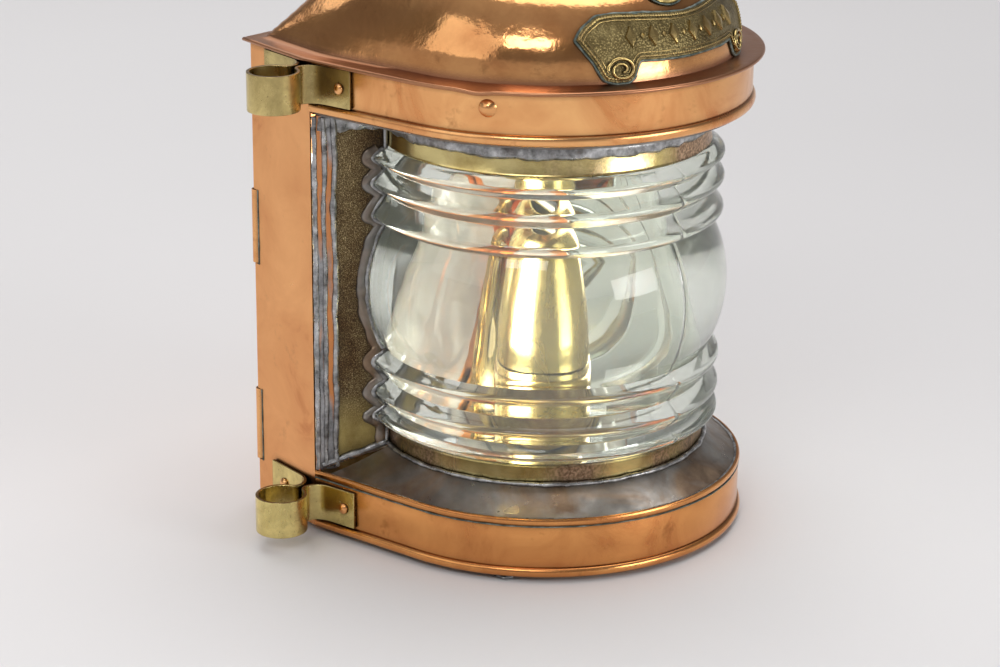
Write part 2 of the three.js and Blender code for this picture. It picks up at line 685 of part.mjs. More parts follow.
function addDoor(group) {
  const face = REAR_CORNER[1] + GAP;
  const [ax, ay] = HINGE_AXIS;
  const sheet = box(ax + BARREL_RADIUS + HINGE_ROOM, DOOR_RIGHT, face, face + SHEET, DOOR_BOTTOM, DOOR_TOP);
  const barrels = Object.values(BARRELS).flatMap(([from, to]) => [
    rod(BARREL_RADIUS, to - from, 20).translate(ax, ay, (from + to) / 2),
    box(ax, ax + 8, face, face + SHEET, from, to),
  ]);
  const bores = Object.values(BARRELS).map(([from, to]) =>
    rod(PIN_RADIUS + PIN_ROOM, to - from + 4, 24).translate(ax, ay, (from + to) / 2));
  const spindleHole = rod(SPINDLE_RADIUS + SPINDLE_ROOM, 10, 24)
    .rotateX(Math.PI / 2).translate(LATCH[0], face, LATCH[1]);
  add(group, "door_panel", cut(joined(sheet, ...barrels), ...bores, spindleHole), copper);
  for (const [place, [from, to]] of Object.entries(BARRELS)) {
    const pin = rod(PIN_RADIUS, to - from + PIN_LONGER, 12).translate(ax, ay, (from + to) / 2);
    add(group, place + "_hinge_pin", pin, steel);
  }
  const latch = new THREE.Group();
  latch.position.set(LATCH[0], face + SHEET, LATCH[1]);
  group.add(latch);
  const knob = turned([[0, GAP], [5, GAP], [5, 2.5], [3.6, 4], [4.2, 6], [8, 8], [8.4, 10], [7.6, 12], [0, 12.6]], 14);
  add(latch, "latch_knob", knob.rotateX(-Math.PI / 2), brass);
  const shaft = rod(SPINDLE_RADIUS, LATCH_DEPTH, 16).rotateX(Math.PI / 2).translate(0, -LATCH_DEPTH / 2, 0);
  add(latch, "latch_spindle", shaft, brass);
  const back = -LATCH_DEPTH - GAP;
  add(latch, "latch_tongue", box(-4, 4, back - 1.6, back, -17, 5), brass);
}

// Oil font on its slide plate, between two rails on the floor

function addFont(group) {
  const low = FLOOR_Z + SHEET + GAP;
  const [lip, back] = [45, 52]; // x of the rail's lips and of its outer wall
  const channel = [
    [lip, low], [back, low], [back, low + 4.4], [lip, low + 4.4],
    [lip, low + 3.4], [back - SHEET, low + 3.4], [back - SHEET, low + 1], [lip, low + 1],
  ];
  for (const [place, side] of [["left", -1], ["right", 1]]) {
    const rail = extruded(sided(channel, side), 0, RAIL_LENGTH).rotateX(Math.PI / 2).translate(0, RAIL_REAR, 0);
    add(group, place + "_font_rail", rail, tin);
  }
  const [halfWide, halfDeep] = SLIDE_PLATE;
  add(group, "font_slide_plate", box(-halfWide, halfWide, -halfDeep, halfDeep, low + 1.4, low + 2.6), brass);
  const inside = FONT_RADIUS - FONT_WALL;
  const rim = FONT_TOP + NECK_HEIGHT;
  const body = [
    [0, FONT_BOTTOM], [FONT_RADIUS - 1, FONT_BOTTOM], [FONT_RADIUS, FONT_BOTTOM + 1], [FONT_RADIUS, FONT_TOP - 2],
    [FONT_RADIUS - 2, FONT_TOP], [NECK_BORE + 1.5, FONT_TOP], [NECK_BORE + 1.5, rim], [NECK_BORE, rim],
    [NECK_BORE, FONT_TOP - FONT_WALL], [inside - 2, FONT_TOP - FONT_WALL], [inside, FONT_TOP - 3],
    [inside, FONT_BOTTOM + FONT_WALL], [0, FONT_BOTTOM + FONT_WALL],
  ];
  const [fx, fy] = FILLER;
  const spout = pipe(FILLER_BORE, FILLER_RADIUS, FONT_TOP - 0.6, rim, 16).translate(fx, fy, 0);
  const mouth = rod(FILLER_BORE, 12, 16).translate(fx, fy, FONT_TOP);
  add(group, "oil_font", cut(joined(turned(body, 24), spout), mouth), brass);
  const seal = rim + GAP;
  const washer = pipe(4, FILLER_RADIUS - 0.2, seal, seal + SEAL_THICK, 20).translate(fx, fy, 0);
  add(group, "filler_seal", washer, leather);
  const lid = seal + SEAL_THICK + GAP;
  const skirt = FONT_TOP + 1.6;
  const bore = FILLER_RADIUS + GAP;
  const cap = turned([
    [0, lid], [bore, lid], [bore, skirt], [CAP_RADIUS, skirt], [CAP_RADIUS, lid + 2.6], [6, lid + 4], [0, lid + 4],
  ], 20);
  add(group, "filler_cap", cap.translate(fx, fy, 0), brass);
}

function addBurner(group) {
  const seat = FONT_TOP + NECK_HEIGHT + GAP;
  const throat = WICK_WIDTH / 2 + 3;
  const collar = [
    [NECK_BORE + 2, FONT_TOP + 0.5], [NECK_BORE + 6, FONT_TOP + 0.5], [NECK_BORE + 6, BURNER_BOTTOM - GAP],
    [throat, BURNER_BOTTOM - GAP], [throat, seat], [NECK_BORE + 2, seat],
  ];
  add(group, "burner_collar", ringSolid(collar, 20), brass);
  const [sx, sz] = SPINDLE;
  const drum = [
    [throat, BURNER_BOTTOM], [BURNER_RADIUS - 2, BURNER_BOTTOM], [BURNER_RADIUS, BURNER_BOTTOM + 3],
    [BURNER_RADIUS, BURNER_MIDDLE], [BURNER_RADIUS - 1, BURNER_MIDDLE], [BURNER_RADIUS - 1, BURNER_BOTTOM + 3.4],
    [BURNER_RADIUS - 2.4, BURNER_BOTTOM + 1], [throat, BURNER_BOTTOM + 1],
  ];
  const spindleHole = rod(WINDER_RADIUS + 0.25, 12, 16).rotateX(Math.PI / 2).translate(sx, BURNER_RADIUS, sz);
  const airHoles = Array.from({ length: 4 }, (_, i) =>
    rod(1.6, 80, 6).rotateX(Math.PI / 2).rotateZ(rad(22 + 45 * i)).translate(0, 0, BURNER_BOTTOM + 10));
  add(group, "burner_drum", cut(ringSolid(drum, 20), spindleHole, ...airHoles), brass);
  const low = BURNER_MIDDLE + GAP;
  const dome = [
    [BURNER_RADIUS, low], [BURNER_RADIUS, low + 6], [20.5, low + 14], [15, BURNER_TOP - 3], [8, BURNER_TOP],
    [8, BURNER_TOP - 1], [14.5, BURNER_TOP - 4], [19.5, low + 13.6], [BURNER_RADIUS - 1, low + 6],
    [BURNER_RADIUS - 1, low],
  ];
  const slot = box(-4, 4, -14, 14, BURNER_TOP - 8, BURNER_TOP + 2);
  add(group, "burner_dome", cut(ringSolid(dome, 20), slot), brass);
  const rectangle = (x, y) => [[-x, -y], [x, -y], [x, y], [-x, y]];
  const [thick, wide] = [WICK_THICK / 2, WICK_WIDTH / 2];
  const outside = rectangle(thick + WICK_ROOM + WICK_TUBE_WALL, wide + WICK_ROOM + WICK_TUBE_WALL);
  const inside = rectangle(thick + WICK_ROOM, wide + WICK_ROOM);
  const window = box(0.5, 6, -5, 5, sz - 5, sz + 5);
  add(group, "wick_tube", cut(extruded(outside, FONT_TOP - 8, WICK_TOP - 5, inside), window), brass);
  add(group, "wick", extruded(rectangle(thick, wide), WICK_FOOT, WICK_TOP), cotton);
  const wheelReach = sx - WICK_THICK / 2 - 0.15;
  const spindle = [
    [0, -4], [wheelReach, -4], [wheelReach, 4], [WINDER_RADIUS, 4],
    [WINDER_RADIUS, WINDER_LENGTH], [0, WINDER_LENGTH],
  ];
  const shaft = add(group, "wick_spindle", turned(spindle, 16).rotateX(-Math.PI / 2), steel);
  shaft.position.set(sx, 0, sz);
  const knob = turned([[0, GAP], [7.4, GAP], [8, 1.2], [8, 3.6], [7.4, 4.4], [0, 4.4]], 24)
    .translate(0, 0, WINDER_LENGTH);
  add(group, "wick_knob", knob.rotateX(-Math.PI / 2), brass).position.set(sx, 0, sz);
}

const body = new THREE.Group();
addBase(body);
addLens(body);
addScreens(body);
addSidePanels(body);
addTop(body);
addPlates(body);
addChimney(body);
addBail(body);
addSleeves(body);
addDoor(body);
addFont(body);
addBurner(body);
body.position.set(0, AXIS_Y, FOOT_HEIGHT);

const lantern = new THREE.Group();
lantern.add(body);

export default lantern;
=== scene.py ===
"""Ship's masthead lantern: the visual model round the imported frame.

Shapes are worked out in millimetres, from the lens axis and the underside of the base band, and place() turns
them into metres in the row frame. Azimuths are measured from the front, positive towards +X.
"""
import json
import math

import bmesh
import bpy
from mathutils import Matrix, Vector, noise


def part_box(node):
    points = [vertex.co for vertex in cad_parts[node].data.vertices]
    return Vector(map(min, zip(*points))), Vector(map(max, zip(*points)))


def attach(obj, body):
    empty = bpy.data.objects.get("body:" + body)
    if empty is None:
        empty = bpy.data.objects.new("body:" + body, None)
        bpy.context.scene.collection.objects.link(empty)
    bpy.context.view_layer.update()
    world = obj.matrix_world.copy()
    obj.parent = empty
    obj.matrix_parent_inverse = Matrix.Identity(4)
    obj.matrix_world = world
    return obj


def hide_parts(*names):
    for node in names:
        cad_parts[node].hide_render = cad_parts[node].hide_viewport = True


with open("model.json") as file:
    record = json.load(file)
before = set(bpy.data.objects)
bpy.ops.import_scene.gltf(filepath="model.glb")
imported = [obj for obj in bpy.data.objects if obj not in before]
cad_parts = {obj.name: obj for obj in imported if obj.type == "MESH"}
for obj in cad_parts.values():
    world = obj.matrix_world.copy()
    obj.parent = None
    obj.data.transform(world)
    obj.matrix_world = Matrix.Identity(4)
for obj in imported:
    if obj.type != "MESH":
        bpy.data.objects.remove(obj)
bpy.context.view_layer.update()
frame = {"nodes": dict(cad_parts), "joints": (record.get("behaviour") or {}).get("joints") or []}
noise.seed_set(7)  # without it noise_vector() takes its offsets from the clock

MM = 0.001
SIDES = ("left", -1), ("right", 1)


def box_mm(node):
    """Lowest and highest corner of a CAD node, in the local millimetres of this script."""
    low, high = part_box(node)
    return (low - ORIGIN) / MM, (high - ORIGIN) / MM


# Where the lens axis stands, and the driving sizes, read from the frame

_tube_low, _tube_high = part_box("smoke_tube")
ORIGIN = Vector(((_tube_low.x + _tube_high.x) / 2, (_tube_low.y + _tube_high.y) / 2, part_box("base_band")[0].z))

BEAD_OUT = 1.9
SHEET = 0.8
FLANGE = 8.3
BODY_RADIUS = -box_mm("base_band")[0].y - BEAD_OUT
FRONT_CORNER = (box_mm("right_side_panel")[1].x, box_mm("right_side_panel")[0].y)
REAR_CORNER = (box_mm("rear_upper_panel")[1].x + FLANGE, box_mm("rear_upper_panel")[1].y)
BAND_TOP = box_mm("base_band")[1].z
TOP_BAND_BOTTOM = box_mm("top_band")[0].z
BODY_TOP = box_mm("top_band")[1].z
CEILING = box_mm("ceiling_plate")[0].z
SHELF_TOP = box_mm("shelf")[1].z
HOOD_LOW, HOOD_TOP = box_mm("hood")[0].z, box_mm("hood")[1].z
COLLAR_RADIUS = box_mm("lower_collar")[1].x
FLOOR_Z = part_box("front_left_foot")[0].z

CORNER_DISTANCE = math.hypot(*FRONT_CORNER)
CORNER_AZIMUTH = math.degrees(math.atan2(FRONT_CORNER[0], -FRONT_CORNER[1]))
TANGENT_AZIMUTH = CORNER_AZIMUTH - math.degrees(math.acos(BODY_RADIUS / CORNER_DISTANCE))

LENS_LOW, LENS_HIGH = box_mm("lens")[0].z, box_mm("lens")[1].z
LENS_CENTRE = (LENS_LOW + LENS_HIGH) / 2
LENS_HALF = (LENS_HIGH - LENS_LOW) / 2
LENS_BELT = -box_mm("lens")[0].y
LENS_INNER = 76
LENS_TIP = 91
BELT_RADIUS = 65
BELT_HALF = 33.2
LENS_END = CORNER_AZIMUTH - 0.53


# ---------------------------------------------------------------- meshes

def place(x, y, z):
    """From local millimetres to metres in the row frame."""
    return Vector((x, y, z)) * MM + ORIGIN


def around(azimuth, radius):
    """Plan point at an azimuth and a radius from the lens axis."""
    return radius * math.sin(math.radians(azimuth)), -radius * math.cos(math.radians(azimuth))


def around_lens(radius, z, parts=150):
    return [(*around(azimuth, radius), z) for azimuth in spaced(-LENS_END, LENS_END, parts)]


def joint_at(name):
    """Where a joint's axis runs, in local millimetres."""
    joint = next(j for j in frame["joints"] if j["name"] == name)
    return (Vector(joint["pos_m"]) - ORIGIN) / MM


def finished(name, bm, material, stands_for=(), body="lantern_body", sharp=35, bevel=0.0):
    """Turns a bmesh of placed vertices into a piece that rides on a body; its slot follows its material."""
    bmesh.ops.remove_doubles(bm, verts=bm.verts, dist=1e-7)
    bmesh.ops.recalc_face_normals(bm, faces=bm.faces)
    mesh = bpy.data.meshes.new(name)
    bm.to_mesh(mesh)
    bm.free()
    piece = bpy.data.objects.new(name, mesh)
    bpy.context.scene.collection.objects.link(piece)
    if bevel:
        rounding = piece.modifiers.new("edge", "BEVEL")
        rounding.width = bevel * MM
        rounding.segments = 2
        rounding.limit_method = "ANGLE"
        rounding.angle_limit = math.radians(40)
    mesh.shade_smooth()
    mesh.set_sharp_from_angle(angle=math.radians(sharp))
    mesh.materials.append(material)
    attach(piece, body)
    if stands_for:
        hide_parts(*stands_for)
    return piece


def loft(bm, rings, closed=False, caps=True):
    """Skins rings of equal count, given in local millimetres; closed joins the last ring to the first."""
    rows = [[bm.verts.new(place(*p)) for p in ring] for ring in rings]
    count = len(rings[0])
    spans = len(rows) if closed else len(rows) - 1
    for i in range(spans):
        near, far = rows[i], rows[(i + 1) % len(rows)]
        for j in range(count):
            k = (j + 1) % count
            bm.faces.new((near[j], near[k], far[k], far[j]))
    if caps and not closed:
        bm.faces.new(rows[0])
        bm.faces.new(rows[-1][::-1])
    return bm


def skinned(bm, front, back):
    """Closes two grids of placed vertices, of equal rows and columns, into one thin sheet."""
    top, last = len(front) - 1, len(front[0]) - 1
    for j in range(top):
        for i in range(last):
            bm.faces.new((front[j][i], front[j][i + 1], front[j + 1][i + 1], front[j + 1][i]))
            bm.faces.new((back[j][i], back[j + 1][i], back[j + 1][i + 1], back[j][i + 1]))
        for i in (0, last):
            bm.faces.new((front[j][i], front[j + 1][i], back[j + 1][i], back[j][i]))
    for i in range(last):
        for j in (0, top):
            bm.faces.new((front[j][i], front[j][i + 1], back[j][i + 1], back[j][i]))


def spaced(low, high, parts):
    """Evenly spaced numbers, both ends included."""
    return [low + (high - low) * i / parts for i in range(parts + 1)]


def fillet(points, radius, steps=4, closed=True):
    """Rounds the corners of a polyline; radius is one number or one per point."""
    out = []
    count = len(points)
    for i, p in enumerate(points):
        r = radius[i] if isinstance(radius, (list, tuple)) else radius
        if not closed and i in (0, count - 1) or r <= 0:
            out.append(tuple(p))
            continue
        p = Vector(p)
        a = Vector(points[i - 1]) - p
        b = Vector(points[(i + 1) % count]) - p
        reach = min(r, 0.45 * a.length, 0.45 * b.length)
        start, end = p + a.normalized() * reach, p + b.normalized() * reach
        for s in range(steps + 1):
            t = s / steps
            out.append(tuple(start * (1 - t) ** 2 + p * 2 * t * (1 - t) + end * t ** 2))
    return out


def turned(profile, sides=96, centre=(0, 0)):
    """A bmesh of a profile of (radius, z) turned about an upright axis; radius 0 closes on the axis."""
    cx, cy = centre
    rings = []
    for i in range(sides):
        x, y = around(360 * i / sides, 1)
        rings.append([(cx + x * r, cy + y * r, z) for r, z in profile])
    return loft(bmesh.new(), rings, closed=True)


def arc(profile, start, end, parts):
    rings = []
    for azimuth in spaced(start, end, parts):
        x, y = around(azimuth, 1)
        rings.append([(x * r, y * r, z) for r, z in profile])
    return loft(bmesh.new(), rings)


def mitred(points, closed=False):
    """Each point of a plan path with the direction that moves it outwards, to the right of travel."""
    out = []
    count = len(points)
    for i, (x, y) in enumerate(points):
        before = points[i - 1] if i or closed else None
        after = points[(i + 1) % count] if i < count - 1 or closed else None
        normals = []
        for a, b in ((before, (x, y)), ((x, y), after)):
            if a and b:
                normals.append(Vector((b[1] - a[1], a[0] - b[0])).normalized())
        one, two = normals[0], normals[-1]
        out.append(((x, y), (one + two) / (1 + one.dot(two))))
    return out


def offset(node, distance):
    """A node of mitred(), moved outwards."""
    (x, y), m = node
    return x + m.x * distance, y + m.y * distance


def swept(path, profile):
    return loft(bmesh.new(), [[(*offset(node, d), z) for d, z in profile] for node in mitred(path)])


def extruded(outline, low, high):
    return loft(bmesh.new(), [[(x, y, z) for x, y in outline] for z in (low, high)])


def strip_outline(path, half):
    """Both sides of a strip of sheet metal bent along a plan path."""
    nodes = mitred(path)
    return [offset(p, half) for p in nodes] + [offset(p, -half) for p in reversed(nodes)]


def between(a, b, parts):
    return [(a[0] + (b[0] - a[0]) * i / parts, a[1] + (b[1] - a[1]) * i / parts) for i in range(parts)]


def smooth_path(points, steps):
    """Catmull-Rom curve through points of any dimension, open."""
    pts = [Vector(p) for p in points]
    pts = [2 * pts[0] - pts[1]] + pts + [2 * pts[-1] - pts[-2]]
    out = []
    for i in range(1, len(pts) - 2):
        p0, p1, p2, p3 = pts[i - 1:i + 3]
        for s in range(steps):
            t = s / steps
            out.append(0.5 * ((2 * p1) + (p2 - p0) * t + (2 * p0 - 5 * p1 + 4 * p2 - p3) * t ** 2
                              + (3 * p1 - p0 - 3 * p2 + p3) * t ** 3))
    out.append(pts[-2])
    return out


def tube(bm, path, radius, sides=12, closed=False, flat=1.0, up=Vector((0, 0, 1))):
    """A tube along local points; radius is a number or a function of the point's index. No run may be along up."""
    rings = []
    count = len(path)
    for i, p in enumerate(path):
        ahead = path[(i + 1) % count] if closed or i < count - 1 else p
        behind = path[i - 1] if closed or i else p
        run = (Vector(ahead) - Vector(behind)).normalized()
        side = run.cross(up)
        side = side.normalized() if side.length > 1e-4 else Vector((1, 0, 0))
        rise = side.cross(run).normalized()
        r = radius(i) if callable(radius) else radius
        ring = []
        for s in range(sides):
            a = 2 * math.pi * s / sides
            ring.append(tuple(Vector(p) + side * (r * math.cos(a)) + rise * (r * flat * math.sin(a))))
        rings.append(ring)
    return loft(bm, rings, closed=closed)


def wobble(point, size, amount):
    """Smooth hand-made unevenness."""
    return amount * noise.noise(Vector(point) / size)


# ---------------------------------------------------------------- materials

class Nodes:
    """A short way to write a material's node tree."""

    def __init__(self, name):
        self.material = bpy.data.materials.new(name)
        self.material.use_nodes = True
        self.tree = self.material.node_tree
        self.shader = self.tree.nodes["Principled BSDF"]
        self.coords = self.tree.nodes.new("ShaderNodeTexCoord").outputs["Object"]

    def new(self, kind, **inputs):
        node = self.tree.nodes.new(kind)
        for key, value in inputs.items():
            socket = node.inputs[key.replace("_", " ")]
            if isinstance(value, bpy.types.NodeSocket):
                self.tree.links.new(value, socket)
            else:
                socket.default_value = value
        return node

    def mapped(self, scale=(1, 1, 1), rotation=(0, 0, 0)):
        return self.new("ShaderNodeMapping", Vector=self.coords, Scale=scale, Rotation=rotation).outputs[0]

    def noise(self, scale, detail=4.0, roughness=0.6, vector=None, distortion=0.0):
        return self.new("ShaderNodeTexNoise", Vector=vector or self.coords, Scale=scale, Detail=detail,
                        Roughness=roughness, Distortion=distortion).outputs["Fac"]

    def ramp(self, factor, *stops):
        node = self.new("ShaderNodeValToRGB", Fac=factor)
        ends = node.color_ramp.elements
        while len(ends) < len(stops):
            ends.new(0.5)
        for element, (position, colour) in zip(ends, stops):
            element.position = position
            element.color = colour if len(colour) == 4 else (*colour, 1)
        return node.outputs["Color"]

    def level(self, factor, low, high, start=0.0, end=1.0):
        return self.new("ShaderNodeMapRange", Value=factor, From_Min=low, From_Max=high, To_Min=start,
                        To_Max=end).outputs[0]

    def mix(self, factor, one, two, blend="MIX"):
        node = self.tree.nodes.new("ShaderNodeMix")
        node.data_type = "RGBA"
        node.blend_type = blend
        for index, value in ((0, factor), (6, one), (7, two)):
            if isinstance(value, bpy.types.NodeSocket):
                self.tree.links.new(value, node.inputs[index])
            else:
                node.inputs[index].default_value = value if index == 0 or len(value) == 4 else (*value, 1)
        return node.outputs[2]

    def height(self):
        """Height above the floor, in metres."""
        return self.new("ShaderNodeSeparateXYZ", Vector=self.coords).outputs["Z"]

    def facing_up(self):
        """1 where the surface faces upwards, 0 on walls."""
        normal = self.tree.nodes.new("ShaderNodeTexCoord").outputs["Normal"]
        return self.level(self.new("ShaderNodeSeparateXYZ", Vector=normal).outputs["Z"], 0.5, 0.85)

    def shaded_and_soiled(self, base, darkening, amount, low=0.3, high=0.9, distance=0.003):
        """Painted shade, with the dirt that gathers there, darkening corners and places against neighbours, read from
        ambient occlusion.
        """
        node = self.tree.nodes.new("ShaderNodeAmbientOcclusion")
        node.samples = 4
        node.inputs["Distance"].default_value = distance
        return self.mix(self.level(node.outputs["AO"], low, high, amount, 0.0), base, darkening)

    def bump(self, height, strength, distance, below=None):
        node = self.new("ShaderNodeBump", Height=height, Strength=strength, Distance=distance)
        if below:
            self.tree.links.new(below, node.inputs["Normal"])
        return node.outputs[0]

    def done(self, colour=None, roughness=None, normal=None, **fixed):
        for key, value in fixed.items():
            self.shader.inputs[key.replace("_", " ")].default_value = value
        for key, value in (("Base Color", colour), ("Roughness", roughness), ("Normal", normal)):
            if value is not None:
                self.tree.links.new(value, self.shader.inputs[key])
        return self.material


def copper_material(name, brushed=(0, 0, 0), tone=0.5, polish=0.2, bright=(0.93, 0.47, 0.19),
                    dark=(0.64, 0.245, 0.085), spotting=0.8, brushing=0.1, dull_below=0.0, dimples=0.0):
    """Polished copper: brown toning in clouds and spots, corners darkened by painted shade and grime, with fine
    brushing.

    dull_below is the height, in metres, of a duller rim; dimples roughen the surface as a hand does.
    """
    n = Nodes(name)
    clouds = n.noise(24, 6, 0.62, distortion=0.6)
    blotches = n.noise(75, 5, 0.7)
    between_two = tuple(0.45 * a + 0.55 * b for a, b in zip(dark, bright))
    base = n.ramp(clouds, (0.3, dark), (tone, between_two), (0.72, bright))
    spots = n.level(blotches, 0.60, 0.78, 0.0, spotting)
    base = n.mix(spots, base, tuple(0.55 * a for a in dark))
    base = n.shaded_and_soiled(base, (0.045, 0.022, 0.014), 0.95, 0.4, 0.96, distance=0.004)
    if dull_below:
        dull = n.level(n.height(), dull_below, dull_below + 0.004, 0.8, 0.0)
        base = n.mix(dull, base, (0.36, 0.165, 0.095))
    lines = n.noise(900, 2, 0.5, vector=n.mapped((1, 1, 0.025), brushed))
    rough = n.level(clouds, 0.3, 0.7, polish + 0.14, polish)
    if dull_below:
        rough = n.level(dull, 0.0, 0.8, polish + 0.02, 0.3)
    normal = n.bump(lines, brushing, 0.00006)
    normal = n.bump(n.noise(45, 3, 0.5), 0.12, 0.0012, normal)
    if dimples:
        normal = n.bump(n.noise(170, 3, 0.55), dimples, 0.0008, normal)
    return n.done(base, rough, normal, Metallic=1.0)


def brass_material(name, dull=0.35, bright=(0.74, 0.57, 0.22), dark=(0.27, 0.19, 0.07), tarnish_and_inner_shade=False):
    """Brass with a dull patina, small pits and corners darkened by painted shade and dirt; tarnish_and_inner_shade
    adds tarnish on upward faces and painted shade deep inside hollows.
    """
    n = Nodes(name)
    clouds = n.noise(60, 6, 0.65, distortion=0.4)
    base = n.ramp(clouds, (0.3, dark), (0.52, tuple(0.5 * (a + b) for a, b in zip(bright, dark))), (0.68, bright))
    pits = n.noise(900, 3, 0.6)
    base = n.mix(n.level(pits, 0.66, 0.74), base, (0.07, 0.055, 0.03))
    if tarnish_and_inner_shade:
        edges = n.level(n.noise(70, 4, 0.6), 0.35, 0.6, 0.45, 0.95)
        base = n.mix(n.mix(n.facing_up(), (0, 0, 0), edges), base, (0.15, 0.085, 0.045))
        # painted shade deep inside hollows, such as the inside of a sleeve loop
        base = n.shaded_and_soiled(base, (0.12, 0.07, 0.035), 0.85, 0.35, 0.8, distance=0.016)
    base = n.shaded_and_soiled(base, (0.06, 0.045, 0.025), 0.85)
    rough = n.level(clouds, 0.3, 0.7, dull + 0.18, dull - 0.06)
    normal = n.bump(pits, 0.25, 0.00015)
    return n.done(base, rough, normal, Metallic=1.0)


def collar_material(name):
    """Brass gone brown in long patches along the ring."""
    n = Nodes(name)
    patches = n.noise(13, 4, 0.6, vector=n.mapped((1, 1, 0.3)), distortion=0.5)
    fine = n.noise(700, 3, 0.6)
    base = n.ramp(n.noise(50, 5, 0.6), (0.32, (0.58, 0.44, 0.16)), (0.62, (0.96, 0.80, 0.36)))
    brown = n.ramp(fine, (0.4, (0.30, 0.185, 0.115)), (0.62, (0.72, 0.50, 0.32)))
    base = n.mix(n.level(patches, 0.46, 0.58), base, brown)
    base = n.shaded_and_soiled(base, (0.06, 0.045, 0.025), 0.85)
    return n.done(base, n.level(patches, 0.45, 0.65, 0.2, 0.42), n.bump(fine, 0.2, 0.00015), Metallic=1.0)


def tin_material(name, stain=0.5):
    """Tinned sheet with brown stains where the brass shows through, and smears of solder."""
    n = Nodes(name)
    clouds = n.noise(26, 5, 0.55, distortion=1.0)
    grey = n.ramp(n.noise(42, 5, 0.55), (0.3, (0.165, 0.152, 0.137)), (0.7, (0.345, 0.328, 0.303)))
    brown = n.ramp(n.noise(80, 4, 0.6), (0.35, (0.18, 0.12, 0.08)), (0.7, (0.31, 0.22, 0.145)))
    base = n.mix(n.level(clouds, stain, stain + 0.22), grey, brown)
    base = n.shaded_and_soiled(base, (0.04, 0.035, 0.03), 0.8, distance=0.004)
    rough = n.level(n.noise(90, 4, 0.6), 0.3, 0.7, 0.24, 0.5)
    normal = n.bump(n.noise(160, 5, 0.6), 0.35, 0.0006)
    return n.done(base, rough, normal, Metallic=0.92)


def solder_material(name):
    n = Nodes(name)
    base = n.ramp(n.noise(160, 5, 0.65), (0.32, (0.12, 0.118, 0.116)), (0.5, (0.36, 0.36, 0.362)),
                  (0.7, (0.66, 0.66, 0.665)))
    darkening = n.noise(48, 4, 0.65)
    base = n.mix(n.level(darkening, 0.54, 0.66, 0.0, 0.6), base, (0.09, 0.07, 0.055))
    base = n.shaded_and_soiled(base, (0.02, 0.018, 0.016), 0.9, 0.2, 0.9)
    rough = n.level(n.noise(120, 3, 0.6), 0.3, 0.7, 0.2, 0.45)
    return n.done(base, rough, n.bump(n.noise(300, 4, 0.6), 0.4, 0.0005), Metallic=0.9)


def patched_material(name):
    """Solder smeared along an upright strip, with the copper showing in places."""
    n = Nodes(name)
    patches = n.noise(60, 4, 0.6, vector=n.mapped((1, 1, 0.14)))
    grey = n.ramp(n.noise(160, 4, 0.6), (0.35, (0.2, 0.2, 0.205)), (0.7, (0.46, 0.46, 0.47)))
    base = n.mix(n.level(patches, 0.5, 0.58), grey, (0.62, 0.25, 0.09))
    base = n.shaded_and_soiled(base, (0.04, 0.03, 0.03), 0.8)
    rough = n.level(patches, 0.3, 0.7, 0.45, 0.28)
    return n.done(base, rough, n.bump(n.noise(240, 4, 0.6), 0.4, 0.0004), Metallic=0.95)


def lining_material(name, metallic=0.55):
    """Tinned inside walls, still bright, with soft waves from the rolling."""
    n = Nodes(name)
    base = n.ramp(n.noise(18, 4, 0.6), (0.3, (0.66, 0.64, 0.58)), (0.6, (0.88, 0.87, 0.83)))
    base = n.shaded_and_soiled(base, (0.1, 0.07, 0.04), 0.7, distance=0.006)
    normal = n.bump(n.noise(22, 2, 0.4, distortion=1.2), 0.6, 0.008)
    return n.done(base, n.level(n.noise(40, 3), 0.3, 0.7, 0.1, 0.22), normal, Metallic=metallic)


def stippled_material(name):
    """The screens: brass under worn paint, a fine gold speckle on brown, clean yellow at the foot."""
    n = Nodes(name)
    fine = n.noise(2100, 2, 0.5)
    speckle = n.ramp(fine, (0.38, (0.085, 0.056, 0.026)), (0.56, (0.21, 0.145, 0.066)), (0.70, (0.62, 0.49, 0.25)))
    shade = n.ramp(n.noise(26, 4, 0.6), (0.38, (0.45, 0.34, 0.27)), (0.6, (1.0, 1.0, 1.0)))
    base = n.mix(1.0, speckle, shade, "MULTIPLY")
    foot = n.level(n.height(), 0.052, 0.072, 1.0, 0.0)
    clean = n.ramp(n.noise(50, 4, 0.6), (0.35, (0.25, 0.17, 0.05)), (0.65, (0.58, 0.46, 0.17)))
    base = n.mix(foot, base, clean)
    base = n.shaded_and_soiled(base, (0.035, 0.03, 0.025), 0.85, 0.35, 0.95, distance=0.012)
    return n.done(base, n.level(fine, 0.4, 0.7, 0.62, 0.36), n.bump(fine, 0.5, 0.0003), Metallic=0.75)


def glass_material(name):
    """Pressed glass with a faint green cast and soft waves in its surface."""
    n = Nodes(name)
    waves = n.noise(60, 2, 0.4, vector=n.mapped((1, 1, 0.5)))
    normal = n.bump(waves, 0.05, 0.0015)
    seeds = n.ramp(n.noise(25, 3, 0.5), (0.35, (0.88, 0.935, 0.845)), (0.65, (0.93, 0.965, 0.90)))
    rough = n.level(n.noise(400, 3, 0.6), 0.55, 0.8, 0.02, 0.08)
    return n.done(seeds, rough, normal, Transmission_Weight=0.93, IOR=1.48)


def steel_material(name):
    n = Nodes(name)
    base = n.ramp(n.noise(200, 4, 0.6), (0.35, (0.22, 0.21, 0.2)), (0.7, (0.5, 0.49, 0.48)))
    rough = n.level(n.noise(300), 0.3, 0.7, 0.25, 0.45)
    return n.done(base, rough, n.bump(n.noise(700), 0.1, 0.0001), Metallic=1.0)


def cotton_material(name):
    n = Nodes(name)
    weave = n.new("ShaderNodeTexWave", Vector=n.mapped(), Scale=420.0, Distortion=1.0)
    base = n.ramp(weave.outputs["Fac"], (0.2, (0.55, 0.5, 0.4)), (0.8, (0.85, 0.81, 0.7)))
    charred = n.level(n.height(), 0.1195, 0.1225)
    base = n.mix(charred, base, (0.03, 0.025, 0.02))
    return n.done(base, None, n.bump(weave.outputs["Fac"], 0.6, 0.0003), Roughness=0.95, Sheen_Weight=0.3)


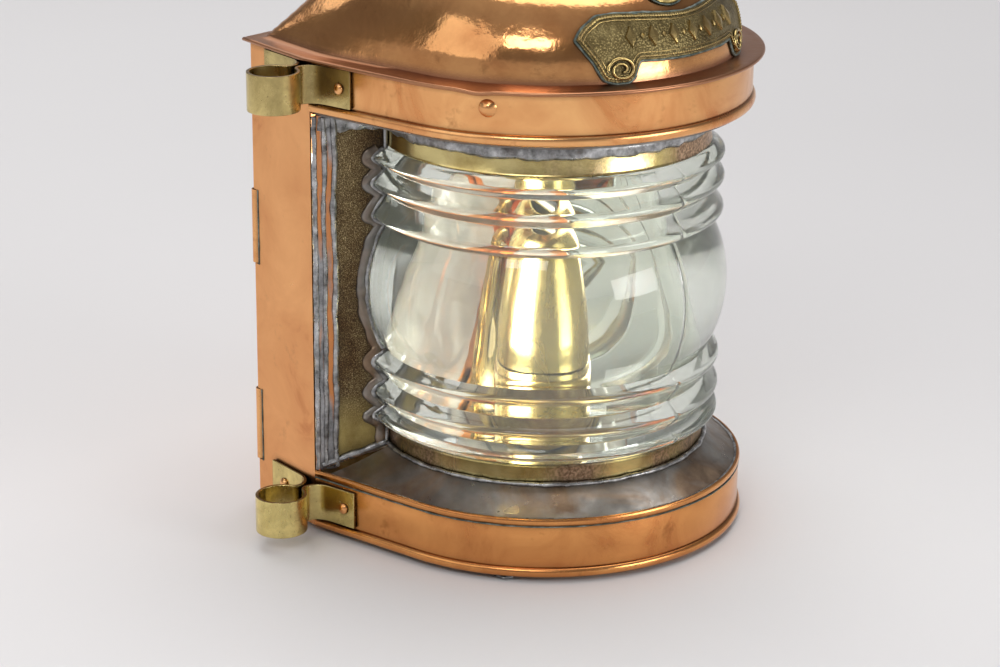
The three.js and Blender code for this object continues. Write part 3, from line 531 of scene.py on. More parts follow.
def leather_material(name):
    n = Nodes(name)
    base = n.ramp(n.noise(400, 4), (0.3, (0.08, 0.045, 0.025)), (0.7, (0.2, 0.11, 0.06)))
    return n.done(base, None, n.bump(n.noise(900, 4), 0.4, 0.0002), Roughness=0.7)


def stippled_brass_material(name):
    """Stamped brass with a punched ground."""
    n = Nodes(name)
    cells = n.new("ShaderNodeTexVoronoi", Vector=n.coords, Scale=900.0)
    dots = cells.outputs["Distance"]
    base = n.ramp(n.noise(90, 5, 0.6), (0.3, (0.12, 0.085, 0.032)), (0.7, (0.36, 0.285, 0.125)))
    base = n.mix(n.level(dots, 0.3, 0.75, 0.0, 0.6), base, (0.12, 0.09, 0.04))
    base = n.shaded_and_soiled(base, (0.05, 0.045, 0.03), 0.9)
    return n.done(base, n.level(dots, 0.1, 0.7, 0.28, 0.5), n.bump(dots, 0.7, 0.0005), Metallic=1.0)


def verdigris_material(name):
    """Old solder gone dark and green."""
    n = Nodes(name)
    base = n.ramp(n.noise(170, 5, 0.65), (0.34, (0.05, 0.06, 0.055)), (0.52, (0.13, 0.17, 0.15)),
                  (0.7, (0.33, 0.36, 0.33)))
    return n.done(base, n.level(n.noise(300), 0.3, 0.7, 0.35, 0.6), n.bump(n.noise(500, 4), 0.5, 0.0004), Metallic=0.6)


ALONG_BAND = (0, math.pi / 2, 0)
COPPER = copper_material("copper_polished")
COPPER_BAND = copper_material("copper_band", ALONG_BAND, tone=0.46, polish=0.16, bright=(0.96, 0.53, 0.22))
# The base band's copper is a darker copy of the band copper: partly painted shade, partly heavier toning.
COPPER_BASE = copper_material("copper_base", ALONG_BAND, polish=0.17, bright=(0.82, 0.38, 0.125),
                              dark=(0.50, 0.18, 0.058))
COPPER_PANEL = copper_material("copper_brushed_panel", (0.75, 0.3, 0), tone=0.4, polish=0.27, spotting=0.35,
                               brushing=0.3)
COPPER_HOOD = copper_material("copper_hood", polish=0.11, bright=(0.90, 0.465, 0.185), dark=(0.60, 0.255, 0.095),
                              brushing=0.2, dimples=0.2, dull_below=ORIGIN.z + 0.2445)
BRASS = brass_material("brass_dull")
BRASS_BRIGHT = brass_material("brass_collar", dull=0.2, bright=(0.86, 0.68, 0.27), dark=(0.5, 0.35, 0.14))
BRASS_COLLAR = collar_material("brass_browned")
BRASS_STAMPED = brass_material("brass_stamped", dull=0.22, bright=(0.66, 0.50, 0.20), dark=(0.28, 0.19, 0.08))
BRASS_STRIP = brass_material("brass_strip", dull=0.2, bright=(0.90, 0.74, 0.30), dark=(0.48, 0.38, 0.15),
                             tarnish_and_inner_shade=True)
# The upper sleeves' brass is a darker copy of the strip brass: painted shade.
BRASS_STRIP_UPPER = brass_material("brass_strip_upper", dull=0.22, bright=(0.70, 0.56, 0.24), dark=(0.33, 0.25, 0.10),
                                   tarnish_and_inner_shade=True)
BRASS_STIPPLE = stippled_brass_material("brass_stippled")
TIN = tin_material("tinned_sheet", 0.43)
SOLDER = solder_material("solder")
VERDIGRIS = verdigris_material("solder_green")
STIPPLED = stippled_material("stippled_brass")
PATCHED = patched_material("copper_under_solder")
LINING = lining_material("tinned_lining")
LINING_FLOOR = lining_material("tinned_inner_floor", metallic=0.3)
GLASS = glass_material("pressed_glass")
STEEL = steel_material("drawn_steel")
COTTON = cotton_material("wick_cotton")
LEATHER = leather_material("oiled_leather")


# ---------------------------------------------------------------- body plan

def front_path(parts=110):
    """Plan of the body from the left front corner round the front to the right one."""
    arc_points = [around(azimuth, BODY_RADIUS) for azimuth in spaced(-TANGENT_AZIMUTH, TANGENT_AZIMUTH, parts)]
    left = (-FRONT_CORNER[0], FRONT_CORNER[1])
    right = between(arc_points[-1], FRONT_CORNER, 8)[1:]
    return [*between(left, arc_points[0], 8), *arc_points, *right, FRONT_CORNER]


def full_path():
    """The whole plan of the body, closed."""
    x, y = REAR_CORNER
    return [
        *front_path(),
        *between(FRONT_CORNER, REAR_CORNER, 8)[1:],
        *between(REAR_CORNER, (-x, y), 26),
        *between((-x, y), (-FRONT_CORNER[0], FRONT_CORNER[1]), 8),
    ]


def trimmed(path, stop=0.6):
    return [(path[0][0], path[0][1] - stop), *path[1:-1], (path[-1][0], path[-1][1] - stop)]


def bead_profile(low, high, out, parts=8):
    """Half-round bead on a wall, from its lower edge to its upper."""
    middle, half = (low + high) / 2, (high - low) / 2
    turns = [math.pi * i / parts for i in range(parts + 1)]
    return [(out * math.sin(a), middle - half * math.cos(a)) for a in turns]


def bead_section(radius, z, out, half):
    """Small oval section of a bead, standing a little off a wall."""
    turns = [2 * math.pi * i / 12 for i in range(12)]
    return [(radius + 0.1 + out * math.cos(a), z + half * math.sin(a)) for a in turns]


def make_bands():
    path = trimmed(front_path())
    base = [
        *bead_profile(0, 5, BEAD_OUT), (0, 5.2), (0.25, 5.9), (0.25, BAND_TOP - 4.2), (0, BAND_TOP - 3.6),
        *bead_profile(BAND_TOP - 3.2, BAND_TOP, 0.9, 6), (-SHEET, BAND_TOP), (-SHEET, 0),
    ]
    finished("base_band_rolled", swept(path, base), COPPER_BASE, ["base_band"])
    groove = [(*offset(node, 0.3), BAND_TOP - 3.9) for node in mitred(path)]
    seams("base_band_groove", groove, 0.42, VERDIGRIS)
    top = [
        *bead_profile(TOP_BAND_BOTTOM, TOP_BAND_BOTTOM + 5.5, BEAD_OUT), (0, TOP_BAND_BOTTOM + 5.8),
        (0.3, TOP_BAND_BOTTOM + 6.6), (0.3, BODY_TOP), (-SHEET, BODY_TOP), (-SHEET, TOP_BAND_BOTTOM),
    ]
    finished("top_band_rolled", swept(path, top), COPPER_BAND, ["top_band"])


def make_shelf():
    """Tinned cone from the band to the collar, hand-soldered at both edges."""
    across = 14
    rings = []
    for node in mitred(front_path())[1:-1]:
        x, y = offset(node, -SHEET - 0.3)
        azimuth = clamp(math.degrees(math.atan2(x, -y)), -LENS_END, LENS_END)
        ix, iy = around(azimuth, COLLAR_RADIUS + 0.3)
        top = []
        for s in range(across + 1):
            t = s / across
            px, py = x + (ix - x) * t, y + (iy - y) * t
            rise = BAND_TOP - 1 + (SHELF_TOP - BAND_TOP + 1) * t
            hollow = -0.7 * math.sin(math.pi * t) + wobble((px, py, 0), 18, 0.45) * math.sin(math.pi * t)
            top.append((px, py, rise + hollow))
        rings.append(top + [(px, py, z - SHEET) for px, py, z in reversed(top)])
    finished("shelf_tinned", loft(bmesh.new(), rings), TIN, ["shelf"], sharp=60)
    outer = [(*offset(node, -SHEET - 0.5), BAND_TOP - 0.8) for node in mitred(front_path())[2:-2]]
    seams("shelf_outer_solder", outer, 0.95)
    seams("shelf_collar_solder", around_lens(COLLAR_RADIUS + 0.9, SHELF_TOP - 0.2), 1.4)


def seams(name, path, radius, material=SOLDER, flat=0.8, up=Vector((0, 0, 1))):
    """An uneven run of solder along a line of local points."""
    def swell(i):
        return radius * (1 + 0.35 * noise.noise(Vector(path[i]) / 9) + 0.2 * noise.noise(Vector(path[i]) / 3))
    uneven = [tuple(Vector(p) + 0.25 * radius * noise.noise_vector(Vector(p) / 7)) for p in path]
    finished(name, tube(bmesh.new(), uneven, swell, 10, flat=flat, up=up), material, sharp=80)


# ---------------------------------------------------------------- lens

def lens_outline():
    """Outer edge of the lens in (radius, height above its middle), from the middle up."""
    centre = LENS_BELT - BELT_RADIUS
    belt = [(centre + math.sqrt(BELT_RADIUS ** 2 - z ** 2), z) for z in spaced(0, BELT_HALF, 14)]
    prisms = [(LENS_TIP, 37.6), (82.8, 48.2), (LENS_TIP, 54.3), (82.8, 62.1), (LENS_TIP, 67.3), (84.2, LENS_HALF - 1)]
    softness = [0, 4.4, 0.5, 3.6, 0.5, 3.4, 0.4, 0]
    rounded = fillet([belt[-1], *prisms, (COLLAR_RADIUS, LENS_HALF)], softness, 7, closed=False)
    return belt[:-1] + [(r, z) for r, z in rounded]


def make_lens():
    upper = [*lens_outline(), (LENS_INNER, LENS_HALF)]
    lower = [(r, -z) for r, z in reversed(upper[1:])]
    profile = [(r, z + LENS_CENTRE) for r, z in lower + upper]
    seam, seam_half, seam_rise = -2.0, 0.22, 0.3
    azimuths = [a for a in spaced(-LENS_END, LENS_END, 150) if abs(a - seam) > 0.8]
    rings = []
    for azimuth in sorted(azimuths + [seam - seam_half, seam, seam + seam_half]):
        x, y = around(azimuth, 1)
        rise = seam_rise if azimuth == seam else 0
        raised = [(r + rise * (r > LENS_INNER + 1), z) for r, z in profile]
        rings.append([(x * r, y * r, z) for r, z in raised])
    finished("lens_glass", loft(bmesh.new(), rings), GLASS, ["lens"], sharp=50)


def make_collars():
    collars = ("lower_collar", LENS_LOW - 0.3, SHELF_TOP - 6, 1), ("upper_collar", LENS_HIGH + 0.3, CEILING - 0.3, -1)
    for name, high, edge, sign in collars:
        wall = [
            (COLLAR_RADIUS, edge), (COLLAR_RADIUS, high - sign * 1.6), (COLLAR_RADIUS + 0.5, high - sign * 0.8),
            (COLLAR_RADIUS, high), (LENS_INNER, high), (LENS_INNER, high - sign * 1.2),
            (COLLAR_RADIUS - 1, high - sign * 1.2), (COLLAR_RADIUS - 1, edge),
        ]
        finished(name + "_spun", arc(wall, -LENS_END, LENS_END, 120), BRASS_COLLAR, [name])
    seams("upper_collar_solder", around_lens(COLLAR_RADIUS + 0.2, LENS_HIGH + 12.2), 1.1, flat=3.2)


def sheet_piece(name, corners, body="lantern_body", across=24, up=24):
    """A thin lining sheet between four corners given round its edge, gently waved."""
    a, b, c, d = (Vector(p) for p in corners)
    normal = (b - a).cross(d - a).normalized()
    bm = bmesh.new()
    skins = []
    for depth in (0.15, -0.15):
        grid = []
        for j in range(up + 1):
            row = []
            for i in range(across + 1):
                low, high = a * (1 - i / across) + b * (i / across), d * (1 - i / across) + c * (i / across)
                p = low * (1 - j / up) + high * (j / up)
                row.append(bm.verts.new(place(*(p + normal * (depth + wobble(p, 30, 0.2))))))
            grid.append(row)
        skins.append(grid)
    skinned(bm, *skins)
    finished(name, bm, LINING, body=body, sharp=60)


def make_linings():
    """Bright tin inside the side panels, the screens and the door, and on the floor."""
    low, high = BAND_TOP, CEILING - 1
    (fx, fy), (rx, ry) = FRONT_CORNER, REAR_CORNER
    gap = SHEET + 0.7
    share = 0.8  # how far back along the side panel its lining runs
    x, y = fx + (rx - fx) * share, fy + (ry - fy) * share
    for place_name, side in SIDES:
        foot, back = (side * (fx - gap - 0.5), fy + 9), (side * (x - gap), y)
        sheet_piece(place_name + "_panel_lining", [(*foot, low), (*back, low), (*back, high), (*foot, high)])
        radial = Vector((side * fx, fy, 0)).normalized()
        behind = Vector((-side * radial.y, abs(radial.x), 0)) * 1.2
        near, far = ((p.x, p.y) for p in (radial * reach + behind for reach in (LENS_INNER + 2, CORNER_DISTANCE - 12)))
        corners = [(*near, low), (*far, low), (*far, high), (*near, high)]
        sheet_piece(place_name + "_screen_lining", corners, across=12)
    edge = [around(azimuth, LENS_INNER - 1.5) for azimuth in spaced(-114, 114, 60)]
    floor = box_mm("base_plate")[1].z
    outline = [*edge, (fx - 12, fy + 4), (rx - 9, ry - 8), (9 - rx, ry - 8), (12 - fx, fy + 4)]
    finished("inner_floor_lining", extruded(outline, floor - 0.2, floor + 0.35), LINING_FLOOR)
    door_low, door_high = box_mm("door_panel")
    right = box_mm("latch_tongue")[0].x - 5
    y = door_high.y - SHEET - 0.8
    left, base, top = -rx + 12, door_low.z + 5, door_high.z - 5
    sheet_piece("door_lining", [(left, y, base), (right, y, base), (right, y, top), (left, y, top)], "door")


def make_screens():
    """Stippled plates with solder that follows the ends of the lens, and solder ridges by the corner."""
    end = CORNER_DISTANCE - 3.2 * SHEET
    shelf_z = BAND_TOP + 2
    outline = lens_outline()
    profile = [(r, -z) for r, z in reversed(outline[1:])] + outline
    for place_name, side in SIDES:
        node = place_name + "_screen"
        radial = Vector((side * FRONT_CORNER[0], FRONT_CORNER[1], 0)).normalized()
        forward = Vector((side * radial.y, -abs(radial.x), 0))
        low, high = box_mm(node)[0].z, box_mm(node)[1].z

        def spot(reach, ahead, z):
            x, y, _ = radial * reach + forward * ahead
            return x, y, z

        bm = bmesh.new()
        columns, rows = spaced(LENS_INNER, end, 20), spaced(low, high, 60)
        front = [[bm.verts.new(place(*spot(r, 0.4 + wobble((r, z, side * 50), 16, 0.35), z))) for r in columns]
                 for z in rows]
        back = [[bm.verts.new(place(*spot(r, -0.4, z))) for r in columns] for z in rows]
        skinned(bm, front, back)
        finished(node + "_stippled", bm, STIPPLED, [node], sharp=60)
        edge = [spot(r + 1.0, 1.0, z + LENS_CENTRE) for r, z in profile]
        edge = [spot(COLLAR_RADIUS + 1.2, 1.0, shelf_z + 8)] + edge + [spot(COLLAR_RADIUS + 1.2, 1.0, high)]
        dense = smooth_path(edge, 2)
        seams(node + "_lens_solder", [tuple(p) for p in dense], 1.5, flat=0.7, up=forward)
        wide = [tuple(Vector(p) + radial * 2.6 - forward * 0.4) for p in smooth_path(dense[::6], 6)]
        seams(node + "_lens_solder_skirt", wide, 3.0, TIN, flat=0.4, up=forward)
        a = end - 8.5
        strip = [[spot(a, 0.8, z), spot(end, 0.8, z), spot(end, 1.5, z), spot(a, 1.5, z)] for z in (BAND_TOP, high)]
        finished(node + "_corner_strip", loft(bmesh.new(), strip), PATCHED, bevel=0.2)
        for k, (reach, width) in enumerate(((end - 8.6, 1.15), (end - 3.6, 1.0))):
            ridge = [spot(reach + wobble((k * 9, z, 0), 30, 0.9), 1.5, z) for z in
                     spaced(BAND_TOP + 1, high - 1, 70)]
            seams(f"{node}_ridge_{k + 1}", ridge, width * 1.25, flat=0.7, up=forward)
        corner = [spot(end + 0.8 + wobble((k * 4, side * 9, 0), 8, 0.2), 0.8,
                       BAND_TOP + 0.5 + k * (high - BAND_TOP - 1) / 70) for k in range(71)]
        seams(node + "_corner_solder", corner, 1.35, flat=0.9, up=forward)
        reaches = [COLLAR_RADIUS + 1 + i * (end - COLLAR_RADIUS - 2) / 24 for i in range(25)]
        foot = [spot(reach, 1.0, shelf_z + (SHELF_TOP - shelf_z) * (end - reach) / (end - COLLAR_RADIUS))
                for reach in reaches]
        seams(node + "_foot_solder", foot, 1.9, up=forward)
        seams(node + "_head_solder", [spot(reach, 0.6, high - 4) for reach in reaches], 4.6, flat=0.22, up=forward)


# ---------------------------------------------------------------- hood

LIP_INSET = 6.5
NECK_RADIUS = 42
HOOD_STEPS = [  # share of the way from lip to neck at the front and at the rear, height
    (0, 0, 244.2), (0.015, 0.045, 249), (0.045, 0.135, 257), (0.12, 0.235, 266),
    (0.3, 0.4, 279), (0.62, 0.66, 290.5), (1, 1, 298.5),
]


def clamp(value, low=0.0, high=1.0):
    return max(low, min(high, value))


def hood_curve(steps=6):
    return [tuple(p) for p in smooth_path(HOOD_STEPS, steps)]


def hood_point(x, y, step, thickness=0.0):
    """Moves a point of the lip outline towards the neck."""
    front, rear, z = step
    share = front + (rear - front) * clamp(y / REAR_CORNER[1])
    reach = math.hypot(x, y)
    radius = reach + (NECK_RADIUS + SHEET - thickness - reach) * share
    return x * radius / reach, y * radius / reach, z


def relaxed(ring, rounds):
    """Softens the corners of a closed ring of plan points."""
    for _ in range(rounds):
        ring = [
            tuple(0.25 * a + 0.5 * b + 0.25 * c for a, b, c in zip(ring[i - 1], ring[i], ring[(i + 1) % len(ring)]))
            for i in range(len(ring))
        ]
    return ring


def rim(distance, rear_distance, path):
    """The closed plan moved outwards, by another distance at the rear than at the front."""
    out = []
    for node in path:
        share = clamp(node[0][1] / REAR_CORNER[1])
        out.append(offset(node, distance + (rear_distance - distance) * share))
    return out


def make_hood():
    """Pressed hood with a rolled lip, worn and dented at the left, and the pip on the band below the dent."""
    path = mitred(full_path(), closed=True)
    low = HOOD_LOW
    lip = rim(-LIP_INSET, -LIP_INSET, path)
    lip_inner = rim(-LIP_INSET - SHEET, -LIP_INSET - SHEET, path)
    curve = hood_curve()

    def flat_ring(distance, rear_distance, z):
        return [(x, y, z) for x, y in rim(distance, rear_distance, path)]

    rings = []
    roll, front_out, rear_out = 1.0, 5.7, 2.5
    for i in range(7):
        angle = -math.pi / 2 + math.pi * i / 6
        swing, z = roll * math.cos(angle), low + roll + roll * math.sin(angle)
        rings.append(flat_ring(front_out - roll + swing, rear_out - roll + swing, z))
    rings += [flat_ring(2, 0.5, low + 1.9), flat_ring(-3.6, -3.6, low + 1.9)]
    for k, step in enumerate(curve):
        rings.append(relaxed([hood_point(x, y, step) for x, y in lip], 1 + k // 3))
    for k in range(len(curve) - 1, 0, -1):
        front, rear, z = curve[k]
        rings.append(relaxed([hood_point(x, y, (front, rear, z - SHEET), SHEET) for x, y in lip_inner], 1 + k // 3))
    rings += [flat_ring(-3.6, -3.6, low + 0.9), flat_ring(2, 0.5, low + 0.6)]

    dent_x, dent_y = around(-67.5, BODY_RADIUS + 4.5)
    dent_depth, dent_size = 1.1, 45.0
    shaped = []
    for ring in rings:
        row = []
        for x, y, z in ring:
            near = math.exp(-((x - dent_x) ** 2 + (y - dent_y) ** 2) / dent_size)
            worn = wobble((x, y, z), 24, 0.28) + wobble((x, y, z), 60, 0.35)
            row.append((x, y, z - near * dent_depth + (worn if z > low + 3 else 0.3 * worn)))
        shaped.append(row)
    finished("hood_pressed", loft(bmesh.new(), shaped, closed=True), COPPER_HOOD, ["hood"], sharp=65)
    dome = [(0, 2.2), (1.2, 2.05), (2.3, 1.5), (3.2, 0.7), (4.2, 0.15), (4.6, -0.4), (0, -0.4)]
    pip = finished("band_pip", turned(dome, 40), COPPER_BAND, sharp=70)
    px, py = around(-65.4, BODY_RADIUS + 0.3)
    set_facing(pip, (px, py, TOP_BAND_BOTTOM + 17.5), Vector((px, py, 0)))


def set_facing(piece, position, out):
    """Moves a piece that was made round local zero, pointing up, to face outwards from a place."""
    turn = Vector((0, 0, 1)).rotation_difference(Vector(out).normalized()).to_matrix().to_4x4()
    piece.data.transform(Matrix.Translation(place(*position)) @ turn @ Matrix.Translation(-ORIGIN))


# ---------------------------------------------------------------- scroll plate and badge

def hood_front(t):
    """Radius and height on the front of the hood at a distance t up its slope, in mm from the lip."""
    lip = BODY_RADIUS - LIP_INSET
    points = [Vector((lip + (NECK_RADIUS + SHEET - lip) * f, z)) for f, _, z in hood_curve()]
    for a, b in zip(points, points[1:]):
        step = (b - a).length
        if t <= step:
            p = a + (b - a) * (t / step)
            n = Vector((b.y - a.y, a.x - b.x)).normalized()
            return p, n
        t -= step
    return points[-1], Vector((0, 1))


def on_hood(s, t, lift):
    """A point above the hood: s along the front from the middle, t up the slope, both in mm."""
    p, n = hood_front(t)
    r, z = p + n * lift
    azimuth = math.degrees(s / (BODY_RADIUS - LIP_INSET - 3))
    return (*around(azimuth, r), z)


SCROLL_SHIFT = -4.0  # the plate sits a little to the left of the front axis
SCROLL_UPPER = [(63, 20.5), (60, 25.5), (52, 31.5), (43, 32.5), (26, 31.5), (10, 29.8), (0, 29.4)]
SCROLL_LOWER = [
    (63, 20.5), (57, 13), (53, 7.5), (51, 2), (45, 0.5), (38, 0.5), (34.6, 4), (34, 10.2), (21, 9.5), (0, 9.2),
]
UP_HOOD = Vector((0, -0.5, 1))
SCROLL_CURL = (42.2, 6.4, 6.6, 5.4)  # distance from the middle, height, half width, half height


def table(stops, distance):
    """Straight-line reading of a table of (distance from the middle, value), widest first."""
    for (a, one), (b, two) in zip(stops, stops[1:]):
        if distance >= b:
            return one + (two - one) * clamp((a - distance) / (a - b))
    return stops[-1][1]


def scroll_edges(s):
    """Lower and upper edge of the plate, with the corners of the tables eased."""
    half = SCROLL_UPPER[0][0]
    reach = min(1.6, (half - abs(s)) / 2)
    near = [abs(s) + reach * k / 4 for k in range(-4, 5)]
    return [sum(table(stops, distance) for distance in near) / len(near) for stops in (SCROLL_LOWER, SCROLL_UPPER)]


def inset(points, distance):
    """A closed outline of (s, t) moved inwards; it runs anticlockwise."""
    out = []
    for i, p in enumerate(points):
        run = Vector(points[(i + 1) % len(points)]) - Vector(points[i - 1])
        normal = Vector((-run.y, run.x)).normalized()
        out.append(tuple(Vector(p) + normal * distance))
    return out


def even(points, step):
    """Evenly spaced points along a closed outline of (s, t)."""
    return [(x, y) for x, y, _ in resampled([(*p, 0) for p in points], step)]


def scroll_lift(s):
    """How far the wavy plate stands off the hood."""
    return 1.5 + 0.6 * (0.55 * math.cos((s - SCROLL_SHIFT) / 11) + 0.9 * clamp((abs(s - SCROLL_SHIFT) - 50) / 13))


def make_scroll():
    """Stamped plate with a rope edge, curls at its lower corners and plain bosses along the middle."""
    rows = 16
    half = SCROLL_UPPER[0][0]
    close = {k * d for k in (-1, 1) for d in (34.0, 34.3, 34.6, 62.6)}
    grid = []
    for s in sorted({round(-half + i, 2) for i in range(2 * half + 1)} | close):
        low, high = scroll_edges(s)
        roll = 0.55 * math.cos(s / 11) + 0.9 * clamp((abs(s) - 50) / 13)
        grid.append([(s + SCROLL_SHIFT, t, 1.5 + roll * 0.6) for t in spaced(low, high, rows)])
    bm = bmesh.new()
    top = [[bm.verts.new(place(*on_hood(*p))) for p in line] for line in grid]
    under = [[bm.verts.new(place(*on_hood(s, t, 0.35))) for s, t, _ in line] for line in grid]
    skinned(bm, top, under)
    finished("scroll_plate_field", bm, BRASS_STIPPLE, ["scroll_plate"], sharp=50)

    border = even([line[0][:2] for line in grid] + [line[rows][:2] for line in reversed(grid)], 1.0)
    rope = [on_hood(s, t, scroll_lift(s) + 0.2) for s, t in even(inset(border, 1.5), 0.5)]
    line = [on_hood(s, t, scroll_lift(s) + 0.05) for s, t in even(inset(border, 3.2), 1.0)]
    twist = tube(bmesh.new(), rope, lambda i: 0.5 + 0.22 * math.sin(i * math.pi / 1.5), 8, closed=True, up=UP_HOOD)
    finished("scroll_plate_rope", twist, BRASS_STAMPED, sharp=80)
    finished("scroll_plate_line", tube(bmesh.new(), line, 0.3, 6, closed=True, up=UP_HOOD), BRASS_STAMPED, sharp=80)
    outline = [on_hood(s, t, 0.4) for s, t in inset(border, -0.4)]
    seams("scroll_plate_solder", outline + outline[:1], 0.95, VERDIGRIS, up=UP_HOOD)
    distance, height, wide, tall = SCROLL_CURL
    for place_name, side in SIDES:
        middle = SCROLL_SHIFT + side * distance
        spiral = []
        for i in range(72):
            a = i / 71 * 3.4 * math.pi
            shrink = 1 - 0.75 * (i / 71) ** 1.3
            spiral.append(on_hood(middle + side * wide * shrink * math.cos(a), height + tall * shrink * math.sin(a),
                                  scroll_lift(middle) + 0.6))
        curl = tube(bmesh.new(), spiral, lambda i: 0.95 - 0.005 * i, 10, up=UP_HOOD)
        finished(f"scroll_curl_{place_name}", curl, BRASS_STAMPED, sharp=80)
    ornament = bmesh.new()
    for k in range(-3, 4):
        s = SCROLL_SHIFT + k * 12.0
        t = (9.4 + scroll_edges(s - SCROLL_SHIFT)[1]) / 2
        lozenge(ornament, s, t, 3.4, 5.6, scroll_lift(s) + 1.3)
        if k < 3:
            lozenge(ornament, s + 6.0, t, 1.3, 1.7, scroll_lift(s) + 0.9)
    finished("scroll_plate_lozenges", ornament, BRASS_STAMPED, sharp=20)


def lozenge(bm, s, t, wide, tall, peak):
    """A raised four-sided boss on the plate."""
    corners = [(s - wide, t), (s, t - tall), (s + wide, t), (s, t + tall)]
    base = [bm.verts.new(place(*on_hood(a, b, 0.9))) for a, b in corners]
    shoulder = [(s + (a - s) * 0.8, t + (b - t) * 0.8) for a, b in corners]
    rim_row = [bm.verts.new(place(*on_hood(a, b, peak - 0.25))) for a, b in shoulder]
    tip = bm.verts.new(place(*on_hood(s, t, peak + 0.25)))
    for i in range(4):
        k = (i + 1) % 4
        bm.faces.new((base[i], base[k], rim_row[k], rim_row[i]))
        bm.faces.new((rim_row[i], rim_row[k], tip))
    bm.faces.new(base[::-1])


def resampled(points, step):
    """Points at an even spacing along a closed polyline."""
    pts = [Vector(p) for p in points]
    out = []
    left = 0.0
    for a, b in zip(pts, pts[1:] + pts[:1]):
        length = (b - a).length
        while left < length:
            out.append(tuple(a + (b - a) * (left / length)))
            left += step
        left -= length
    return out


def make_badge():
    """A plain oval boss with a raised rim, above the scroll plate."""
    centre_s, centre_t = -9.0, 41.5

    def oval(wide, tall, lift, parts=64):
        turns = [2 * math.pi * i / 64 for i in range(parts)]
        return [on_hood(centre_s + wide * math.cos(a), centre_t + tall * math.sin(a), lift) for a in turns]

    heights = (1.0, 0.35), (1.0, 1.1), (0.93, 1.6), (0.84, 1.5), (0.78, 1.0), (0.5, 1.35), (0.2, 1.6)
    rings = [oval(12.5 * reach, 7.2 * reach, lift) for reach, lift in heights]
    finished("hood_badge_oval", loft(bmesh.new(), rings), BRASS, ["hood_badge"], sharp=50)
    seams("hood_badge_solder", oval(12.9, 7.6, 0.3, 65), 0.7, VERDIGRIS)


# ---------------------------------------------------------------- chimney, cap, bail

def make_chimney():
    """Rolled chimney with round vents punched through it and a bead at each end."""
    low, high = box_mm("chimney")[0].z, box_mm("chimney")[1].z
    radius = box_mm("chimney")[1].x
    wall = fillet([(radius - 1, low), (radius, low), (radius, high), (radius - 1, high)], 0.2, 2)
    shell = finished("chimney_rolled", turned(wall, 160), COPPER, ["chimney"])
    vents, vent_z, vent_radius = 12, 323, 3.6
    punch = bmesh.new()
    for k in range(vents):
        azimuth = math.radians(15 + 360 / vents * k)
        turn = Matrix.Rotation(azimuth, 4, "Z") @ Matrix.Rotation(math.pi / 2, 4, "Y")
        middle = place(radius * math.cos(azimuth), radius * math.sin(azimuth), vent_z)
        bmesh.ops.create_cone(punch, cap_ends=True, segments=24, radius1=vent_radius * MM, radius2=vent_radius * MM,
                              depth=12 * MM, matrix=Matrix.Translation(middle) @ turn)
    cutter_mesh = bpy.data.meshes.new("vent_punch")
    punch.to_mesh(cutter_mesh)
    punch.free()
    cutter = bpy.data.objects.new("vent_punch", cutter_mesh)
    bpy.context.scene.collection.objects.link(cutter)
    hole = shell.modifiers.new("vents", "BOOLEAN")
    hole.object = cutter
    hole.solver = "EXACT"
    baked = bpy.data.meshes.new_from_object(shell.evaluated_get(bpy.context.evaluated_depsgraph_get()))
    shell.modifiers.clear()
    shell.data = baked
    bpy.data.objects.remove(cutter)
    half = 1.3
    for k, z in enumerate((HOOD_TOP + 1.8, high - 2.2)):
        bead = [(radius + x + 0.1, z + dz) for x, dz in bead_profile(-half, half, 1.1)]
        edge = [(radius + 0.05, z + half), (radius + 0.05, z - half)]
        finished(f"chimney_bead_{k + 1}", turned(bead + edge, 120), COPPER)


def make_cap():
    low, high = box_mm("chimney_cap")[0].z, box_mm("chimney_cap")[1].z
    radius = box_mm("chimney_cap")[1].x
    drops = (0, 0), (0.33, 1), (0.65, 4.5), (0.88, 10), (0.975, 14)
    curve = [tuple(p) for p in smooth_path([(radius * share, high - drop) for share, drop in drops], 8)]
    lip = [(radius - 0.1, low + 1.6), (radius, low + 0.7), (radius - 0.8, low), (radius - 1.8, low + 0.8)]
    inner = [(r * 0.978, z - 1.2) for r, z in reversed(curve[1:])] + [(0, high - 1.2)]
    finished("chimney_cap_spun", turned(curve + lip + inner, 128), COPPER, ["chimney_cap"], sharp=60)
    finished("chimney_cap_ring", turned(bead_section(14.9, high - 0.62, 0.8, 0.8), 96), COPPER, sharp=80)


